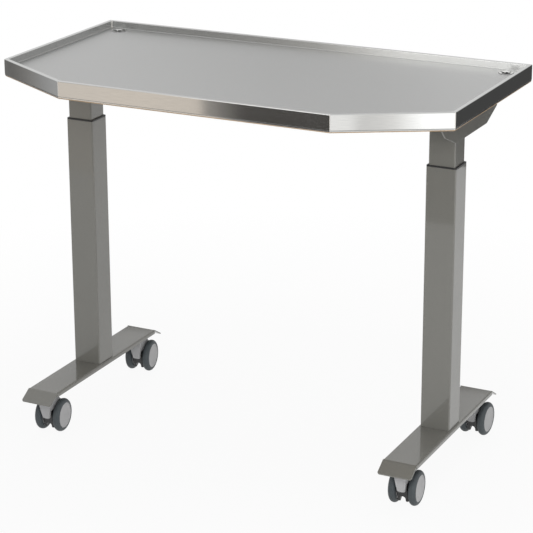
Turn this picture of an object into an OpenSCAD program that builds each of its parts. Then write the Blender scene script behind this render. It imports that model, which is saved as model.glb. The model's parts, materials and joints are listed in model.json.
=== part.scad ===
// Mobile instrument table: a stainless tray with two corner drains on a pair of
// telescopic columns, each standing on a folded steel foot with two twin-wheel casters.
// X runs left to right, Y from front to back and Z up from the floor. The origin is on
// the floor under the middle of the whole table, whose front corners are cut off.

/* [Tray] */
// Width of the tray, left to right
tray_w = 1100; // [1040:5:1300]
// Depth of the tray, front to back
tray_d = 600; // [560:5:760]
// Height of the rim's top edge above the floor, at the drawn column height
table_h = 900; // [895:1:980]
// Width that each cut front corner takes off the front edge
corner_cut_w = 224; // [60:1:300]
// Depth that each cut front corner takes off the side edge
corner_cut_d = 128; // [40:1:200]
// Rise of the rim above the tray's floor
rim_rise = 16; // [8:0.5:30]
// Width of the rim's flat top
rim_w = 10; // [6:0.5:20]
// Height of the skirt, from the rim's top to its lower edge
skirt_h = 37.5; // [30:0.5:38]
// Thickness of the stainless sheet
sheet_t = 1.5; // [1:0.1:2]
// Outside radius of the tray's upright corners
tray_corner_r = 3; // [2:0.5:8]
// Height of the pressed hem along the skirt's lower edge
hem_h = 3.5; // [2:0.5:8]
// Depth of the pressed hem behind the skirt's face
hem_step = 0.5; // [0.2:0.1:0.6]

/* [Core board] */
// Thickness of the board that stiffens the tray
board_t = 22; // [18:1:30]

/* [Drains] */
// Diameter of a drain's flange
drain_d = 36; // [28:1:44]
// Distance of a drain's centre from the tray's side edge
drain_side = 48; // [44:1:80]
// Distance of a drain's centre from the tray's back edge
drain_back = 40; // [34:1:42]
// Diameter of a drain's threaded shank
shank_d = 19; // [18:0.5:22]
// Diameter of the plain spigot below the lock nut, which takes the hose
spigot_d = 16; // [12:0.5:17]
// Wall of the shank and of the spigot
spigot_wall = 1.5; // [1:0.1:3]
// Length of shank and spigot below the core board
spigot_drop = 22; // [14:1:40]
// Thickness of the drain flange's rolled edge
drain_lip_h = 1.6; // [1:0.1:3]
// Rise of the cross above the tray's floor
drain_cross_h = 4; // [1:0.5:6]
// Width of the cross's bars
drain_bar_w = 3.5; // [2:0.5:5]
// Diameter of the lock nut under the board
drain_nut_d = 30; // [26:1:32]
// Thickness of the lock nut
drain_nut_t = 5; // [3:0.5:8]

/* [Columns] */
// Distance of each column's centre from its end of the tray
column_inset = 93.5; // [86:0.5:130]
// Distance of the columns' centres behind the middle of the tray
column_back = 24; // [0:1:40]
// Outer tube's width, left to right
outer_w = 70; // [68:0.5:78]
// Outer tube's depth, front to back
outer_d = 64; // [63:0.5:72]
// Wall of the outer tube
outer_wall = 2.5; // [2:0.1:2.9]
// Inner tube's width, left to right
inner_w = 62; // [58:0.5:63]
// Inner tube's depth, front to back
inner_d = 57; // [54:0.5:58]
// Wall of the inner tube
inner_wall = 2; // [1.5:0.1:3]
// Length of inner tube that shows between the collar and the bracket
inner_show = 56; // [52:0.5:110]
// Height of the inner tube's lower end above the foot
inner_lift = 60.5; // [54:0.5:90]
// Outside radius of the outer tube's corners
tube_corner_r = 3.5; // [2:0.5:6]
// Thickness of the collar above the outer tube
collar_t = 3.5; // [2:0.5:8]
// Depth of the collar's sleeve inside the outer tube
collar_sleeve = 30; // [15:1:60]
// Height of the glide ring round the inner tube's foot
glide_h = 25; // [15:1:60]
// Running gap between a glide and the tube that slides on it
glide_gap = 0.3; // [0.2:0.05:0.4]

/* [Lift drive] */
// Diameter of the lifting spindle
spindle_d = 16; // [12:1:18]
// Height of the spindle's tip above the foot
spindle_lift = 122.5; // [80:0.5:130]
// Depth of the spindle's journal in the gearbox
journal_len = 12; // [8:1:20]
// Depth of the nut tube's top below the outer tube's top
nut_tube_sink = 86.5; // [60:0.5:100]
// Diameter of the nut tube
nut_tube_d = 30; // [26:1:36]
// Wall of the nut tube
nut_tube_wall = 3; // [2:0.5:4]
// Height of the lifting nut
nut_h = 40; // [25:1:60]
// Running clearance round a turning shaft
shaft_gap = 0.05; // [0.03:0.01:0.1]
// Height of the gearbox
gearbox_h = 50; // [46:1:56]
// Gap between the gearbox and the inner tube's walls
gearbox_gap = 2; // [1:0.5:4]
// Radius of the gearbox's corners
gearbox_corner_r = 4; // [1:0.5:8]
// Diameter of the motor
motor_d = 42; // [36:1:44]
// Length of the motor
motor_len = 110; // [80:1:130]
// Diameter of the motor's end cap
motor_cap_d = 34; // [20:1:36]
// Length of the motor's end cap
motor_cap_len = 8; // [4:1:12]

/* [Top brackets] */
// Sheet thickness of a top bracket
bracket_t = 3; // [2:0.5:4]
// Depth of a bracket's outer cheek below the core board
bracket_drop = 74.5; // [66:0.5:78]
// Depth of a bracket's inner cheek below the core board
bracket_inner_drop = 30; // [26:1:34]
// Reach of the outer cheek's lower edge in front of the column's centre
bracket_toe = 34; // [30:1:60]
// Reach of the outer cheek's lower edge behind the column's centre
bracket_heel = 153; // [120:1:155]
// Length of the sloping ends of the outer cheek
bracket_slope_run = 63; // [40:1:63]
// Rise of the sloping ends of the outer cheek
bracket_slope_rise = 27; // [10:1:36]
// Distance of the front screws from the column's centre
screw_front = 70; // [50:1:90]
// Distance of the rear screws from the column's centre
screw_rear = 172; // [155:1:190]
// Sideways distance between the screws of a bracket
screw_pitch = 36; // [20:1:44]
// Diameter of a screw's shank
screw_d = 5; // [4:0.5:6]
// Diameter of a screw's head
screw_head_d = 10; // [8:0.5:12]
// Height of a screw's head
screw_head_h = 3; // [2:0.5:5]
// Depth of a screw in the core board
screw_bite = 15; // [8:1:16]

/* [Rails and controls] */
// Width of a cross rail, front to back
rail_w = 50; // [30:1:56]
// Height of a cross rail
rail_h = 25; // [20:1:30]
// Wall of a cross rail
rail_wall = 2; // [1.5:0.5:3]
// Distance of the front rail before the columns' centres
rail_front = 84; // [70:1:90]
// Distance of the rear rail behind the columns' centres
rail_rear = 166; // [150:1:180]
// Control box: width, left to right
control_w = 200; // [140:5:260]
// Control box: depth, front to back
control_d = 110; // [80:5:140]
// Control box: height
control_h = 28; // [20:1:34]
// Control box: radius of its corners
control_corner_r = 5; // [1:0.5:12]
// Distance of the switch's middle to the right of the tray's middle
switch_side = 250; // [100:5:350]
// Switch housing: width, left to right
switch_w = 96; // [80:1:140]
// Switch housing: depth, front to back
switch_d = 34; // [24:1:40]
// Switch housing: height
switch_h = 22; // [18:1:30]
// Switch housing: radius of its long edges
switch_corner_r = 3; // [1:0.5:6]
// Distance of the switch's face inside the tray's back edge
switch_inset = 2; // [2:0.5:6]
// Width of a button
button_w = 20; // [12:1:30]
// Height of a button
button_h = 11; // [8:0.5:14]
// Distance between the two buttons' centres
button_pitch = 36; // [32:1:48]
// Height of a button proud of the housing
button_proud = 1.7; // [1.6:0.1:1.9]
// Travel of a button
button_travel = 1.5; // [1:0.1:1.6]
// Gap round a button
button_gap = 0.3; // [0.2:0.05:0.5]
// Radius of a button's corners
button_corner_r = 2; // [0.5:0.5:4]

/* [Feet] */
// Height of a foot's top above the floor
foot_h = 115; // [114:0.5:122]
// Width of a foot
foot_w = 80; // [76:1:96]
// Length of a foot's flat top
foot_flat = 463; // [456:1:520]
// Sheet thickness of a foot
foot_t = 3; // [2:0.5:4]
// Depth of a foot's side flanges
foot_flange = 10; // [6:0.5:12]
// Length of a foot's sloping end lip
lip_len = 38.6; // [20:0.1:45]
// Slope of a foot's end lip
lip_angle = 31; // [10:1:40]
// Radius of the end lip's corners
lip_corner_r = 6; // [2:1:12]

/* [Casters] */
// Diameter of a wheel over its tyre
wheel_d = 80; // [74:1:82]
// Width of a wheel over its tyre
wheel_w = 18; // [16:0.5:18.5]
// Distance between the middles of a caster's two wheels
wheel_spacing = 46.5; // [46:0.5:54]
// Diameter of a hub, and of the tyre's bore
hub_d = 61; // [50:1:64]
// Width of a hub at its rim
hub_w = 16.6; // [14:0.1:17.4]
// Width of the raised ring round a hub's face
hub_ring_w = 3; // [2:0.5:5]
// Height of the raised ring round a hub's face
hub_ring_h = 0.6; // [0.3:0.1:1.5]
// Distance of the wheels' axle behind the caster's stem
trail = 24.8; // [22:0.1:27]
// Diameter of the axle
axle_d = 8; // [6:0.5:10]
// Depth of the axle in each hub
axle_bite = 8; // [5:0.5:8.5]
// Diameter of the caster's stem
stem_d = 11; // [8:0.5:12]
// Length of the stem below its plate
stem_len = 44; // [35:1:46]
// Width and depth of the plate on top of a stem
stem_plate_w = 36; // [30:1:60]
// Thickness of the plate on top of a stem
stem_plate_t = 8; // [7:0.5:9]
// Radius of the plate's corners
stem_plate_r = 4; // [1:0.5:8]
// Distance between a stem's plate and the end of the foot's flat part
stem_plate_edge = 0.75; // [0.5:0.05:20]
// Diameter of the caster core's tower
tower_d = 22; // [20:0.5:23]
// Thickness of the core below the stem's end, and of the web in front of its cheeks
core_wall = 3; // [2:0.5:4]
// Width of the core over its cheeks
core_w = 24; // [23.5:0.5:26]
// Gap between pieces that turn past each other
turn_gap = 0.3; // [0.2:0.05:0.4]
// Thickness of each cheek of the core
cheek_t = 5.5; // [4:0.5:8]
// Diameter of the cheeks round the axle
cheek_d = 20; // [14:1:26]
// Height of the core's lowest point above the floor
toe_z = 12; // [9:1:22]
// Diameter of the cheeks' rounded toe
toe_d = 10; // [6:1:14]
// Distance of the toe's centre behind the stem
toe_back = 6; // [1:0.5:8]
// Wall of a hub's boss round the axle
boss_wall = 5; // [3:0.5:7]
// Height of the top of the arch between the cheeks
arch_z = 26; // [20:1:32]
// Height of the caster cover's top
cover_top = 100; // [96:0.5:101]
// Height of the caster cover's lower edge
cover_bottom = 41; // [36:1:45]
// Width of the cover at its top
cover_top_w = 36; // [30:0.5:36.5]
// Width of the cover at its lower edge
cover_bottom_w = 18; // [12:0.5:19]
// Radius of the cover's corners, seen from the front
cover_corner_r = 2.5; // [0.5:0.5:4]
// Radius of the edge between the cover's front and its top
cover_shoulder_r = 6; // [3:0.5:8]
// Distance of the cover's back inside the wheels' outline
cover_back_inset = 2; // [1:0.5:6]
// Angle above the axle at which the cover's back begins
cover_back_angle = 35; // [25:5:45]
// Reach of the cover's top behind the core's tower
cover_top_back = 3; // [2:0.5:4]
// Reach of the cover in front of the stem
cover_reach = 21; // [19:0.5:24]
// How far the cover's lower edge falls back from its foremost part
cover_fall = 9; // [4:0.5:10]
// Border round the sunk panel on the cover's front
cover_border = 3; // [2:0.5:5]
// Depth of the sunk panel on the cover's front
cover_panel = 0.5; // [0.2:0.1:1]
// Turn of the front left caster
front_left_turn = 5.3; // [-180:0.1:180]
// Turn of the front right caster
front_right_turn = 2.7; // [-180:0.1:180]
// Turn of the rear left caster
rear_left_turn = 7.7; // [-180:0.1:180]
// Turn of the rear right caster
rear_right_turn = -1.6; // [-180:0.1:180]

/* [Hidden] */
$fn = 64;

LEFT = -1;
RIGHT = 1;
// Overshoot of a cut past the face that it opens
CUT = 1;
// Sides of an arc at a bent or rounded corner
CORNER_STEPS = 5;
// Straight pieces in the cover's curved front
COVER_STEPS = 8;
// Least radius of a corner inside another one
LEAST_R = 0.5;

floor_z = table_h - rim_rise;
skirt_z = table_h - skirt_h;
board_top_z = floor_z - sheet_t;
board_z = board_top_z - board_t;
web_z = board_z - bracket_t;
column_x = tray_w / 2 - column_inset;
outer_top_z = board_z - bracket_drop - inner_show - collar_t;
outer_bore_r = max(tube_corner_r - outer_wall, LEAST_R);
inner_bottom_z = foot_h + inner_lift;
gearbox_z = web_z - gearbox_h;
motor_z = gearbox_z + gearbox_h / 2;
gearbox_w = inner_w - 2 * (inner_wall + gearbox_gap);
gearbox_d = inner_d - 2 * (inner_wall + gearbox_gap);
flange_x = inner_w / 2;
switch_face_y = tray_d / 2 - switch_inset;
foot_under_z = foot_h - foot_t;
stem_z = foot_under_z - stem_plate_t;
// Distance of a caster's stem from the middle of the foot
stem_y = foot_flat / 2 - stem_plate_edge - stem_plate_w / 2;
axle_z = wheel_d / 2;

// Unit vector along v
function unit(v) = v / norm(v);

// Point at an angle and a radius
function polar(r, a) = [r * cos(a), r * sin(a)];

// Corners of a rectangle centred on the origin, anticlockwise
function rect(w, d) = [[-w / 2, -d / 2], [w / 2, -d / 2], [w / 2, d / 2], [-w / 2, d / 2]];

// A convex anticlockwise outline with every side moved inwards by d
function inset(points, d) = let (n = len(points)) [
    for (i = [0:n - 1])
        let (p = points[i],
             a = unit(p - points[(i + n - 1) % n]),
             b = unit(points[(i + 1) % n] - p),
             side_a = [-a[1], a[0]],
             side_b = [-b[1], b[0]])
        p + d / (1 + side_a * side_b) * (side_a + side_b)
];

// A convex anticlockwise outline with every corner turned into an arc of radius r
function rounded(points, r) = let (n = len(points)) [
    for (i = [0:n - 1])
        let (p = points[i],
             a = unit(p - points[(i + n - 1) % n]),
             b = unit(points[(i + 1) % n] - p),
             turn = acos(a * b),
             centre = p - r * tan(turn / 2) * a + r * [-a[1], a[0]],
             start = atan2(-a[0], a[1]))
        for (k = [0:CORNER_STEPS]) centre + polar(r, start + turn * k / CORNER_STEPS)
];

// Direction of the outer tangent's normal from circle a to circle b, each [centre, radius]
function belt_angle(a, b) =
    let (d = b[0] - a[0]) atan2(d[1], d[0]) - acos((a[1] - b[1]) / norm(d));

// A belt drawn tight round circles that are listed anticlockwise
function belt(circles) = let (n = len(circles)) [
    for (i = [0:n - 1])
        let (c = circles[i],
             start = belt_angle(circles[(i + n - 1) % n], c),
             turn = (belt_angle(c, circles[(i + 1) % n]) - start + 720) % 360)
        for (k = [0:2 * CORNER_STEPS]) c[0] + polar(c[1], start + turn * k / (2 * CORNER_STEPS))
];

// Extrudes a Y-Z outline from x0 to x1
module along_x(x0, x1) translate([x0, 0, 0]) rotate([90, 0, 90]) linear_extrude(x1 - x0) children();

// Extrudes an X-Z outline from y0 back to y1
module along_y(y0, y1) translate([0, y1, 0]) rotate([90, 0, 0]) linear_extrude(y1 - y0) children();

// Extrudes a rounded rectangle from z0 to z1
module rounded_block(w, d, r, z0, z1)
    translate([0, 0, z0]) linear_extrude(z1 - z0) polygon(rounded(rect(w, d), r));

// Rectangular tube with an even wall, from z0 to z1
module box_tube(w, d, wall, r, z0, z1) difference() {
    rounded_block(w, d, r, z0, z1);
    rounded_block(w - 2 * wall, d - 2 * wall, max(r - wall, LEAST_R), z0 - CUT, z1 + CUT);
}

// Tray

// Outline of the tray: a rectangle with its two front corners cut off
tray_points = [
    [-tray_w / 2 + corner_cut_w, -tray_d / 2], [tray_w / 2 - corner_cut_w, -tray_d / 2],
    [tray_w / 2, -tray_d / 2 + corner_cut_d], [tray_w / 2, tray_d / 2],
    [-tray_w / 2, tray_d / 2], [-tray_w / 2, -tray_d / 2 + corner_cut_d]
];

// The tray's outline drawn in by d, from z0 to z1
module tray_layer(d, z0, z1)
    translate([0, 0, z0]) linear_extrude(z1 - z0)
        polygon(rounded(inset(tray_points, d), max(tray_corner_r - d, 1)));

// Puts its children at a drain's centre
module at_drain(side)
    translate([side * (tray_w / 2 - drain_side), tray_d / 2 - drain_back, 0]) children();

module tray_top() color([0.72, 0.72, 0.71]) difference() {
    union() {
        tray_layer(0, skirt_z + hem_h, table_h);
        tray_layer(hem_step, skirt_z, skirt_z + hem_h);
    }
    tray_layer(rim_w, floor_z, table_h + CUT);
    tray_layer(sheet_t, skirt_z - CUT, board_top_z);
    // Hollow between the rim's inner wall and the skirt
    difference() {
        tray_layer(sheet_t, board_top_z - CUT, table_h - sheet_t);
        tray_layer(rim_w - sheet_t, board_top_z - 2 * CUT, table_h);
    }
    for (side = [LEFT, RIGHT]) at_drain(side)
        translate([0, 0, board_top_z - CUT]) cylinder(h = sheet_t + 2 * CUT, d = shank_d);
}

module core_board() color([0.72, 0.58, 0.42]) difference() {
    tray_layer(sheet_t, board_z, board_top_z);
    for (side = [LEFT, RIGHT]) {
        at_drain(side)
            translate([0, 0, board_z - CUT]) cylinder(h = board_t + 2 * CUT, d = shank_d);
        at_bracket_screws(side)
            translate([0, 0, board_z - CUT]) cylinder(h = screw_bite + CUT, d = screw_d);
    }
}

// Flange with a rolled edge and a dished middle, a threaded shank that narrows to a plain
// spigot below the lock nut, and a cross in the mouth
module drain(side) {
    flange_r = drain_d / 2;
    shank_r = shank_d / 2;
    spigot_r = spigot_d / 2;
    nut_z = board_z - drain_nut_t - floor_z;
    spigot_z = board_z - floor_z - spigot_drop;
    color([0.8, 0.8, 0.8]) at_drain(side) translate([0, 0, floor_z]) {
        rotate_extrude() polygon(concat(
            [[spigot_r - spigot_wall, spigot_z], [spigot_r, spigot_z], [spigot_r, nut_z],
             [shank_r, nut_z], [shank_r, 0], [flange_r, 0]],
            [for (a = [0:22.5:90]) [flange_r - drain_lip_h, 0] + polar(drain_lip_h, a)],
            [[shank_r, drain_lip_h / 2], [shank_r - spigot_wall, drain_lip_h / 4],
             [shank_r - spigot_wall, nut_z + 2 * spigot_wall], [spigot_r - spigot_wall, nut_z + spigot_wall]]
        ));
        translate([0, 0, -drain_cross_h]) {
            for (a = [0, 90]) rotate([0, 0, a]) translate([-shank_r, -drain_bar_w / 2, 0])
                cube([shank_d, drain_bar_w, 2 * drain_cross_h]);
            cylinder(h = 2 * drain_cross_h + drain_lip_h / 4, d = 2 * drain_bar_w);
        }
    }
}

module drain_nuts() color([0.2, 0.2, 0.2]) for (side = [LEFT, RIGHT]) at_drain(side)
    translate([0, 0, board_z - drain_nut_t]) difference() {
        cylinder(h = drain_nut_t, d = drain_nut_d, $fn = 6);
        translate([0, 0, -CUT]) cylinder(h = drain_nut_t + 2 * CUT, d = shank_d);
    }

// Top brackets, rails and screws

// Puts its children at a column's centre
module at_column(side) translate([side * column_x, column_back, 0]) children();

// Side view of a bracket's outer cheek, about the column's centre
module outer_cheek() {
    shoulder = bracket_slope_rise - bracket_drop;
    polygon(rounded([
        [-bracket_toe - bracket_slope_run + shoulder, 0], [-bracket_toe - bracket_slope_run, shoulder],
        [-bracket_toe, -bracket_drop], [bracket_heel, -bracket_drop],
        [bracket_heel + bracket_slope_run, shoulder], [bracket_heel + bracket_slope_run, 0]
    ], bracket_t));
}

bracket_front = -bracket_toe - bracket_slope_run + bracket_slope_rise - bracket_drop;
bracket_rear = bracket_heel + bracket_slope_run;

module at_bracket_screws(side) at_column(side)
    for (x = [-screw_pitch / 2, screw_pitch / 2], y = [-screw_front, screw_rear])
        translate([x, y, 0]) children();

// Side view of a bracket's inner cheek, which carries the rails' ends
module inner_cheek() polygon(rounded([
    [bracket_front + 2 * bracket_t, -bracket_inner_drop], [bracket_rear - bracket_t, -bracket_inner_drop],
    [bracket_rear - bracket_t, 0], [bracket_front + 2 * bracket_t, 0]
], bracket_t));

module top_bracket(side) color([0.44, 0.44, 0.41]) difference() {
    at_column(side) {
        // Each cheek lies on its own side of the web, whichever way the bracket faces
        translate([side * (flange_x + bracket_t / 2), 0, board_z]) along_x(-bracket_t / 2, bracket_t / 2)
            outer_cheek();
        translate([-side * (flange_x + bracket_t / 2), 0, board_z]) along_x(-bracket_t / 2, bracket_t / 2)
            inner_cheek();
        translate([-flange_x, bracket_front + 2 * bracket_t, web_z])
            cube([2 * flange_x, bracket_rear - bracket_front - 3 * bracket_t, bracket_t]);
    }
    at_bracket_screws(side)
        translate([0, 0, web_z - CUT]) cylinder(h = bracket_t + 2 * CUT, d = screw_d);
}

module bracket_screws() color([0.6, 0.6, 0.6]) for (side = [LEFT, RIGHT]) at_bracket_screws(side) {
    translate([0, 0, web_z - screw_head_h]) cylinder(h = screw_head_h, d = screw_head_d);
    translate([0, 0, web_z]) cylinder(h = bracket_t + screw_bite, d = screw_d);
}

module cross_rails() color([0.3, 0.3, 0.3]) {
    half = column_x - flange_x - bracket_t;
    for (y = [-rail_front, rail_rear])
        translate([0, column_back + y, board_z - rail_h / 2]) along_x(-half, half) difference() {
            polygon(rounded(rect(rail_w, rail_h), rail_wall));
            polygon(rounded(rect(rail_w - 2 * rail_wall, rail_h - 2 * rail_wall), rail_wall / 2));
        }
}

// Columns

module outer_tube(side) color([0.45, 0.45, 0.42]) at_column(side)
    box_tube(outer_w, outer_d, outer_wall, tube_corner_r, foot_h, outer_top_z);

module collar(side) color([0.1, 0.1, 0.1]) at_column(side) difference() {
    union() {
        rounded_block(outer_w, outer_d, tube_corner_r, outer_top_z, outer_top_z + collar_t);
        rounded_block(outer_w - 2 * outer_wall, outer_d - 2 * outer_wall, outer_bore_r,
            outer_top_z - collar_sleeve, outer_top_z + collar_t / 2);
    }
    rounded_block(inner_w + 2 * glide_gap, inner_d + 2 * glide_gap, tube_corner_r,
        outer_top_z - collar_sleeve - CUT, outer_top_z + collar_t + CUT);
}

module inner_tube(side) color([0.45, 0.45, 0.42]) at_column(side) difference() {
    box_tube(inner_w, inner_d, inner_wall, tube_corner_r, inner_bottom_z, web_z);
    // Window in the back wall for the motor
    translate([0, 0, motor_z]) rotate([-90, 0, 0]) cylinder(h = inner_d, d = motor_d + 2 * gearbox_gap);
}

module inner_tube_glides() color([0.15, 0.15, 0.15]) for (side = [LEFT, RIGHT]) at_column(side)
    difference() {
        rounded_block(outer_w - 2 * (outer_wall + glide_gap), outer_d - 2 * (outer_wall + glide_gap),
            tube_corner_r, inner_bottom_z, inner_bottom_z + glide_h);
        rounded_block(inner_w, inner_d, tube_corner_r, inner_bottom_z - CUT, inner_bottom_z + glide_h + CUT);
    }

// Lift drive

module gearbox(side) color([0.35, 0.35, 0.37]) at_column(side) difference() {
    rounded_block(gearbox_w, gearbox_d, gearbox_corner_r, gearbox_z, web_z);
    translate([0, 0, gearbox_z - CUT])
        cylinder(h = journal_len + turn_gap + CUT, d = spindle_d + 2 * shaft_gap);
}

module motor(side) color([0.2, 0.2, 0.22]) at_column(side)
    translate([0, gearbox_d / 2, motor_z]) rotate([-90, 0, 0]) {
        cylinder(h = motor_len, d = motor_d);
        translate([0, 0, motor_len]) cylinder(h = motor_cap_len, d = motor_cap_d);
    }

module spindle(side) color([0.7, 0.7, 0.7]) at_column(side) {
    tip = spindle_d / 8;
    tip_z = foot_h + spindle_lift;
    translate([0, 0, tip_z + tip]) cylinder(h = gearbox_z + journal_len - tip_z - tip, d = spindle_d);
    translate([0, 0, tip_z]) cylinder(h = tip, d1 = spindle_d - 2 * tip, d2 = spindle_d);
}

module nut_tube(side) color([0.6, 0.55, 0.4]) at_column(side) translate([0, 0, foot_h]) difference() {
    length = outer_top_z - nut_tube_sink - foot_h;
    cylinder(h = length, d = nut_tube_d);
    translate([0, 0, -CUT])
        cylinder(h = length - nut_h + CUT, d = nut_tube_d - 2 * nut_tube_wall);
    cylinder(h = length + CUT, d = spindle_d + 2 * shaft_gap);
}

// Controls

module control_box() color([0.15, 0.15, 0.15])
    translate([0, column_back + (rail_rear - rail_front) / 2, 0])
        rounded_block(control_w, control_d, control_corner_r, board_z - control_h, board_z);

// Puts its children at the middle of a button's seat in the switch's face
module at_button(s)
    translate([switch_side + s * button_pitch / 2, switch_face_y, board_z - switch_h / 2]) children();

module switch_housing() color([0.12, 0.12, 0.12]) difference() {
    translate([switch_side, 0, board_z - switch_h / 2])
        along_y(switch_face_y - switch_d, switch_face_y)
            polygon(rounded(rect(switch_w, switch_h), switch_corner_r));
    for (s = [LEFT, RIGHT]) at_button(s)
        along_y(-2 * button_travel - button_proud - button_gap, CUT)
            polygon(rounded(rect(button_w + 2 * button_gap, button_h + 2 * button_gap), button_corner_r));
}

module switch_button(s) color([0.75, 0.75, 0.75]) at_button(s)
    along_y(-button_travel - button_proud, button_proud)
        polygon(rounded(rect(button_w, button_h), button_corner_r));

// Feet

lip_start = [foot_flat / 2, foot_under_z];
lip_end = lip_start + polar(lip_len, -lip_angle);
lip_reach = lip_end[0] + foot_t * sin(lip_angle);

// Side view of the rear half of a foot's sheet: its upper edge, from the middle out to the tip
foot_upper_edge = concat(
    [for (k = [0:CORNER_STEPS]) lip_start + polar(foot_t, 90 - lip_angle * k / CORNER_STEPS)],
    [lip_end + polar(foot_t, 90 - lip_angle)]
);

module foot(side) color([0.5, 0.5, 0.48]) at_column(side) difference() {
    union() {
        // Flat top with a sloping lip at both ends, their corners rounded in plan
        intersection() {
            along_x(-foot_w, foot_w) polygon(concat(
                [[-lip_end[0], lip_end[1]], [-lip_start[0], lip_start[1]], lip_start, lip_end],
                [for (i = [len(foot_upper_edge) - 1:-1:0]) foot_upper_edge[i]],
                [for (p = foot_upper_edge) [-p[0], p[1]]]
            ));
            rounded_block(foot_w, 2 * lip_reach, lip_corner_r, 0, foot_h + CUT);
        }
        for (s = [LEFT, RIGHT])
            translate([s * (foot_w - foot_t) / 2 - foot_t / 2, -foot_flat / 2, foot_h - foot_flange])
                cube([foot_t, foot_flat, foot_flange - foot_t / 2]);
    }
    // Round bends between the flat top and its flanges
    for (s = [LEFT, RIGHT])
        along_y(-foot_flat / 2, foot_flat / 2) polygon(concat(
            [[s * (foot_w / 2 + CUT), foot_h + CUT], [s * (foot_w / 2 + CUT), foot_h - foot_t]],
            [for (k = [0:CORNER_STEPS]) let (p = polar(foot_t, 90 * k / CORNER_STEPS))
                [s * (foot_w / 2 - foot_t + p[0]), foot_h - foot_t + p[1]]],
            [[s * (foot_w / 2 - foot_t), foot_h + CUT]]
        ));
}

module caster_stems(side) color([0.55, 0.55, 0.55]) at_column(side)
    for (y = [-stem_y, stem_y]) translate([0, y, 0]) {
        rounded_block(stem_plate_w, stem_plate_w, stem_plate_r, stem_z, foot_under_z);
        translate([0, 0, stem_z - stem_len]) cylinder(h = stem_len + CUT, d = stem_d);
    }

// Casters, each drawn about its own stem with the wheels trailing towards +Y

FRONT = -1;
REAR = 1;

// Puts its children at a caster's stem, turned as the caster is
module at_caster(side, end, turn)
    at_column(side) translate([0, end * stem_y, 0]) rotate([0, 0, turn]) children();

// Turns a profile of radius and distance along the axle into a ring round the axle
module about_axle(s) translate([s * wheel_spacing / 2, trail, axle_z]) rotate([0, 90 * s, 0]) children();

core_top_z = stem_z - turn_gap;
tower_z = stem_z - stem_len - turn_gap - core_wall;
arch_r = core_w / 2 - cheek_t;
web_back = stem_d / 2 + core_wall;

// The core's outer shape, with no bores and no space between its cheeks
module core_block() {
    root = [0, tower_z + core_w / 2];
    translate([0, 0, root[1]]) cylinder(h = core_top_z - root[1], d = tower_d);
    along_x(-core_w / 2, core_w / 2) polygon(belt([
        [root, core_w / 2], [[toe_back, toe_z + toe_d / 2], toe_d / 2], [[trail, axle_z], cheek_d / 2]
    ]));
}

module caster_core() color([0.12, 0.12, 0.13]) difference() {
    core_block();
    // Space between the cheeks, with an arched mouth and a web along the front
    translate([-arch_r, web_back, 0]) cube([2 * arch_r, wheel_d, tower_z]);
    translate([-arch_r, -wheel_d / 2, 0]) cube([2 * arch_r, wheel_d, arch_z - arch_r]);
    translate([0, wheel_d / 2, arch_z - arch_r]) rotate([90, 0, 0]) cylinder(h = wheel_d, r = arch_r);
    translate([0, 0, stem_z - stem_len - turn_gap]) cylinder(h = stem_len + CUT, d = stem_d + 2 * shaft_gap);
    translate([0, trail, axle_z]) rotate([0, 90, 0])
        cylinder(h = core_w + 2 * CUT, d = axle_d, center = true);
}

module caster_axle() color([0.7, 0.7, 0.7]) translate([0, trail, axle_z]) rotate([0, 90, 0])
    cylinder(h = wheel_spacing - hub_w + 2 * axle_bite, d = axle_d, center = true);

// Front view of the caster cover: a tapering panel, drawn in by d
module cover_front(d) polygon(rounded(inset([
    [-cover_bottom_w / 2, cover_bottom], [cover_bottom_w / 2, cover_bottom],
    [cover_top_w / 2, cover_top], [-cover_top_w / 2, cover_top]], d), cover_corner_r));

// Foremost point of the cover at height z: a parabola that falls back below its shoulder
function cover_y(z) =
    -cover_reach + cover_fall * pow(max(shoulder_z - z, 0) / (shoulder_z - cover_bottom), 2);

shoulder_z = cover_top - cover_shoulder_r;
cover_levels = [for (k = [0:COVER_STEPS]) cover_bottom + k * (shoulder_z - cover_bottom) / COVER_STEPS];
cover_back_r = wheel_d / 2 - cover_back_inset;
cover_rear_z = axle_z + cover_back_r * sin(cover_back_angle);

// Side view of the caster cover: its front curve, flat top and a back that follows the wheels
module cover_side() polygon(concat(
    [for (i = [len(cover_levels) - 1:-1:0]) [cover_y(cover_levels[i]), cover_levels[i]]],
    [[0, cover_bottom], [0, cover_rear_z]],
    [for (k = [0:4]) [trail, axle_z] + polar(cover_back_r, cover_back_angle + 10 * k)],
    [[tower_d / 2 + cover_top_back, cover_top]],
    [for (a = [90:15:165]) [cover_shoulder_r - cover_reach, shoulder_z] + polar(cover_shoulder_r, a)]
));

module caster_cover() color([0.68, 0.68, 0.69]) difference() {
    intersection() {
        along_y(-2 * cover_reach, 2 * wheel_d) cover_front(0);
        along_x(-cover_top_w, cover_top_w) cover_side();
    }
    core_block();
    // Sunk panel on the front
    difference() {
        along_y(-2 * cover_reach, 0) cover_front(cover_border);
        translate([0, cover_panel, 0]) along_x(-cover_top_w, cover_top_w) cover_side();
    }
}

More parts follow.
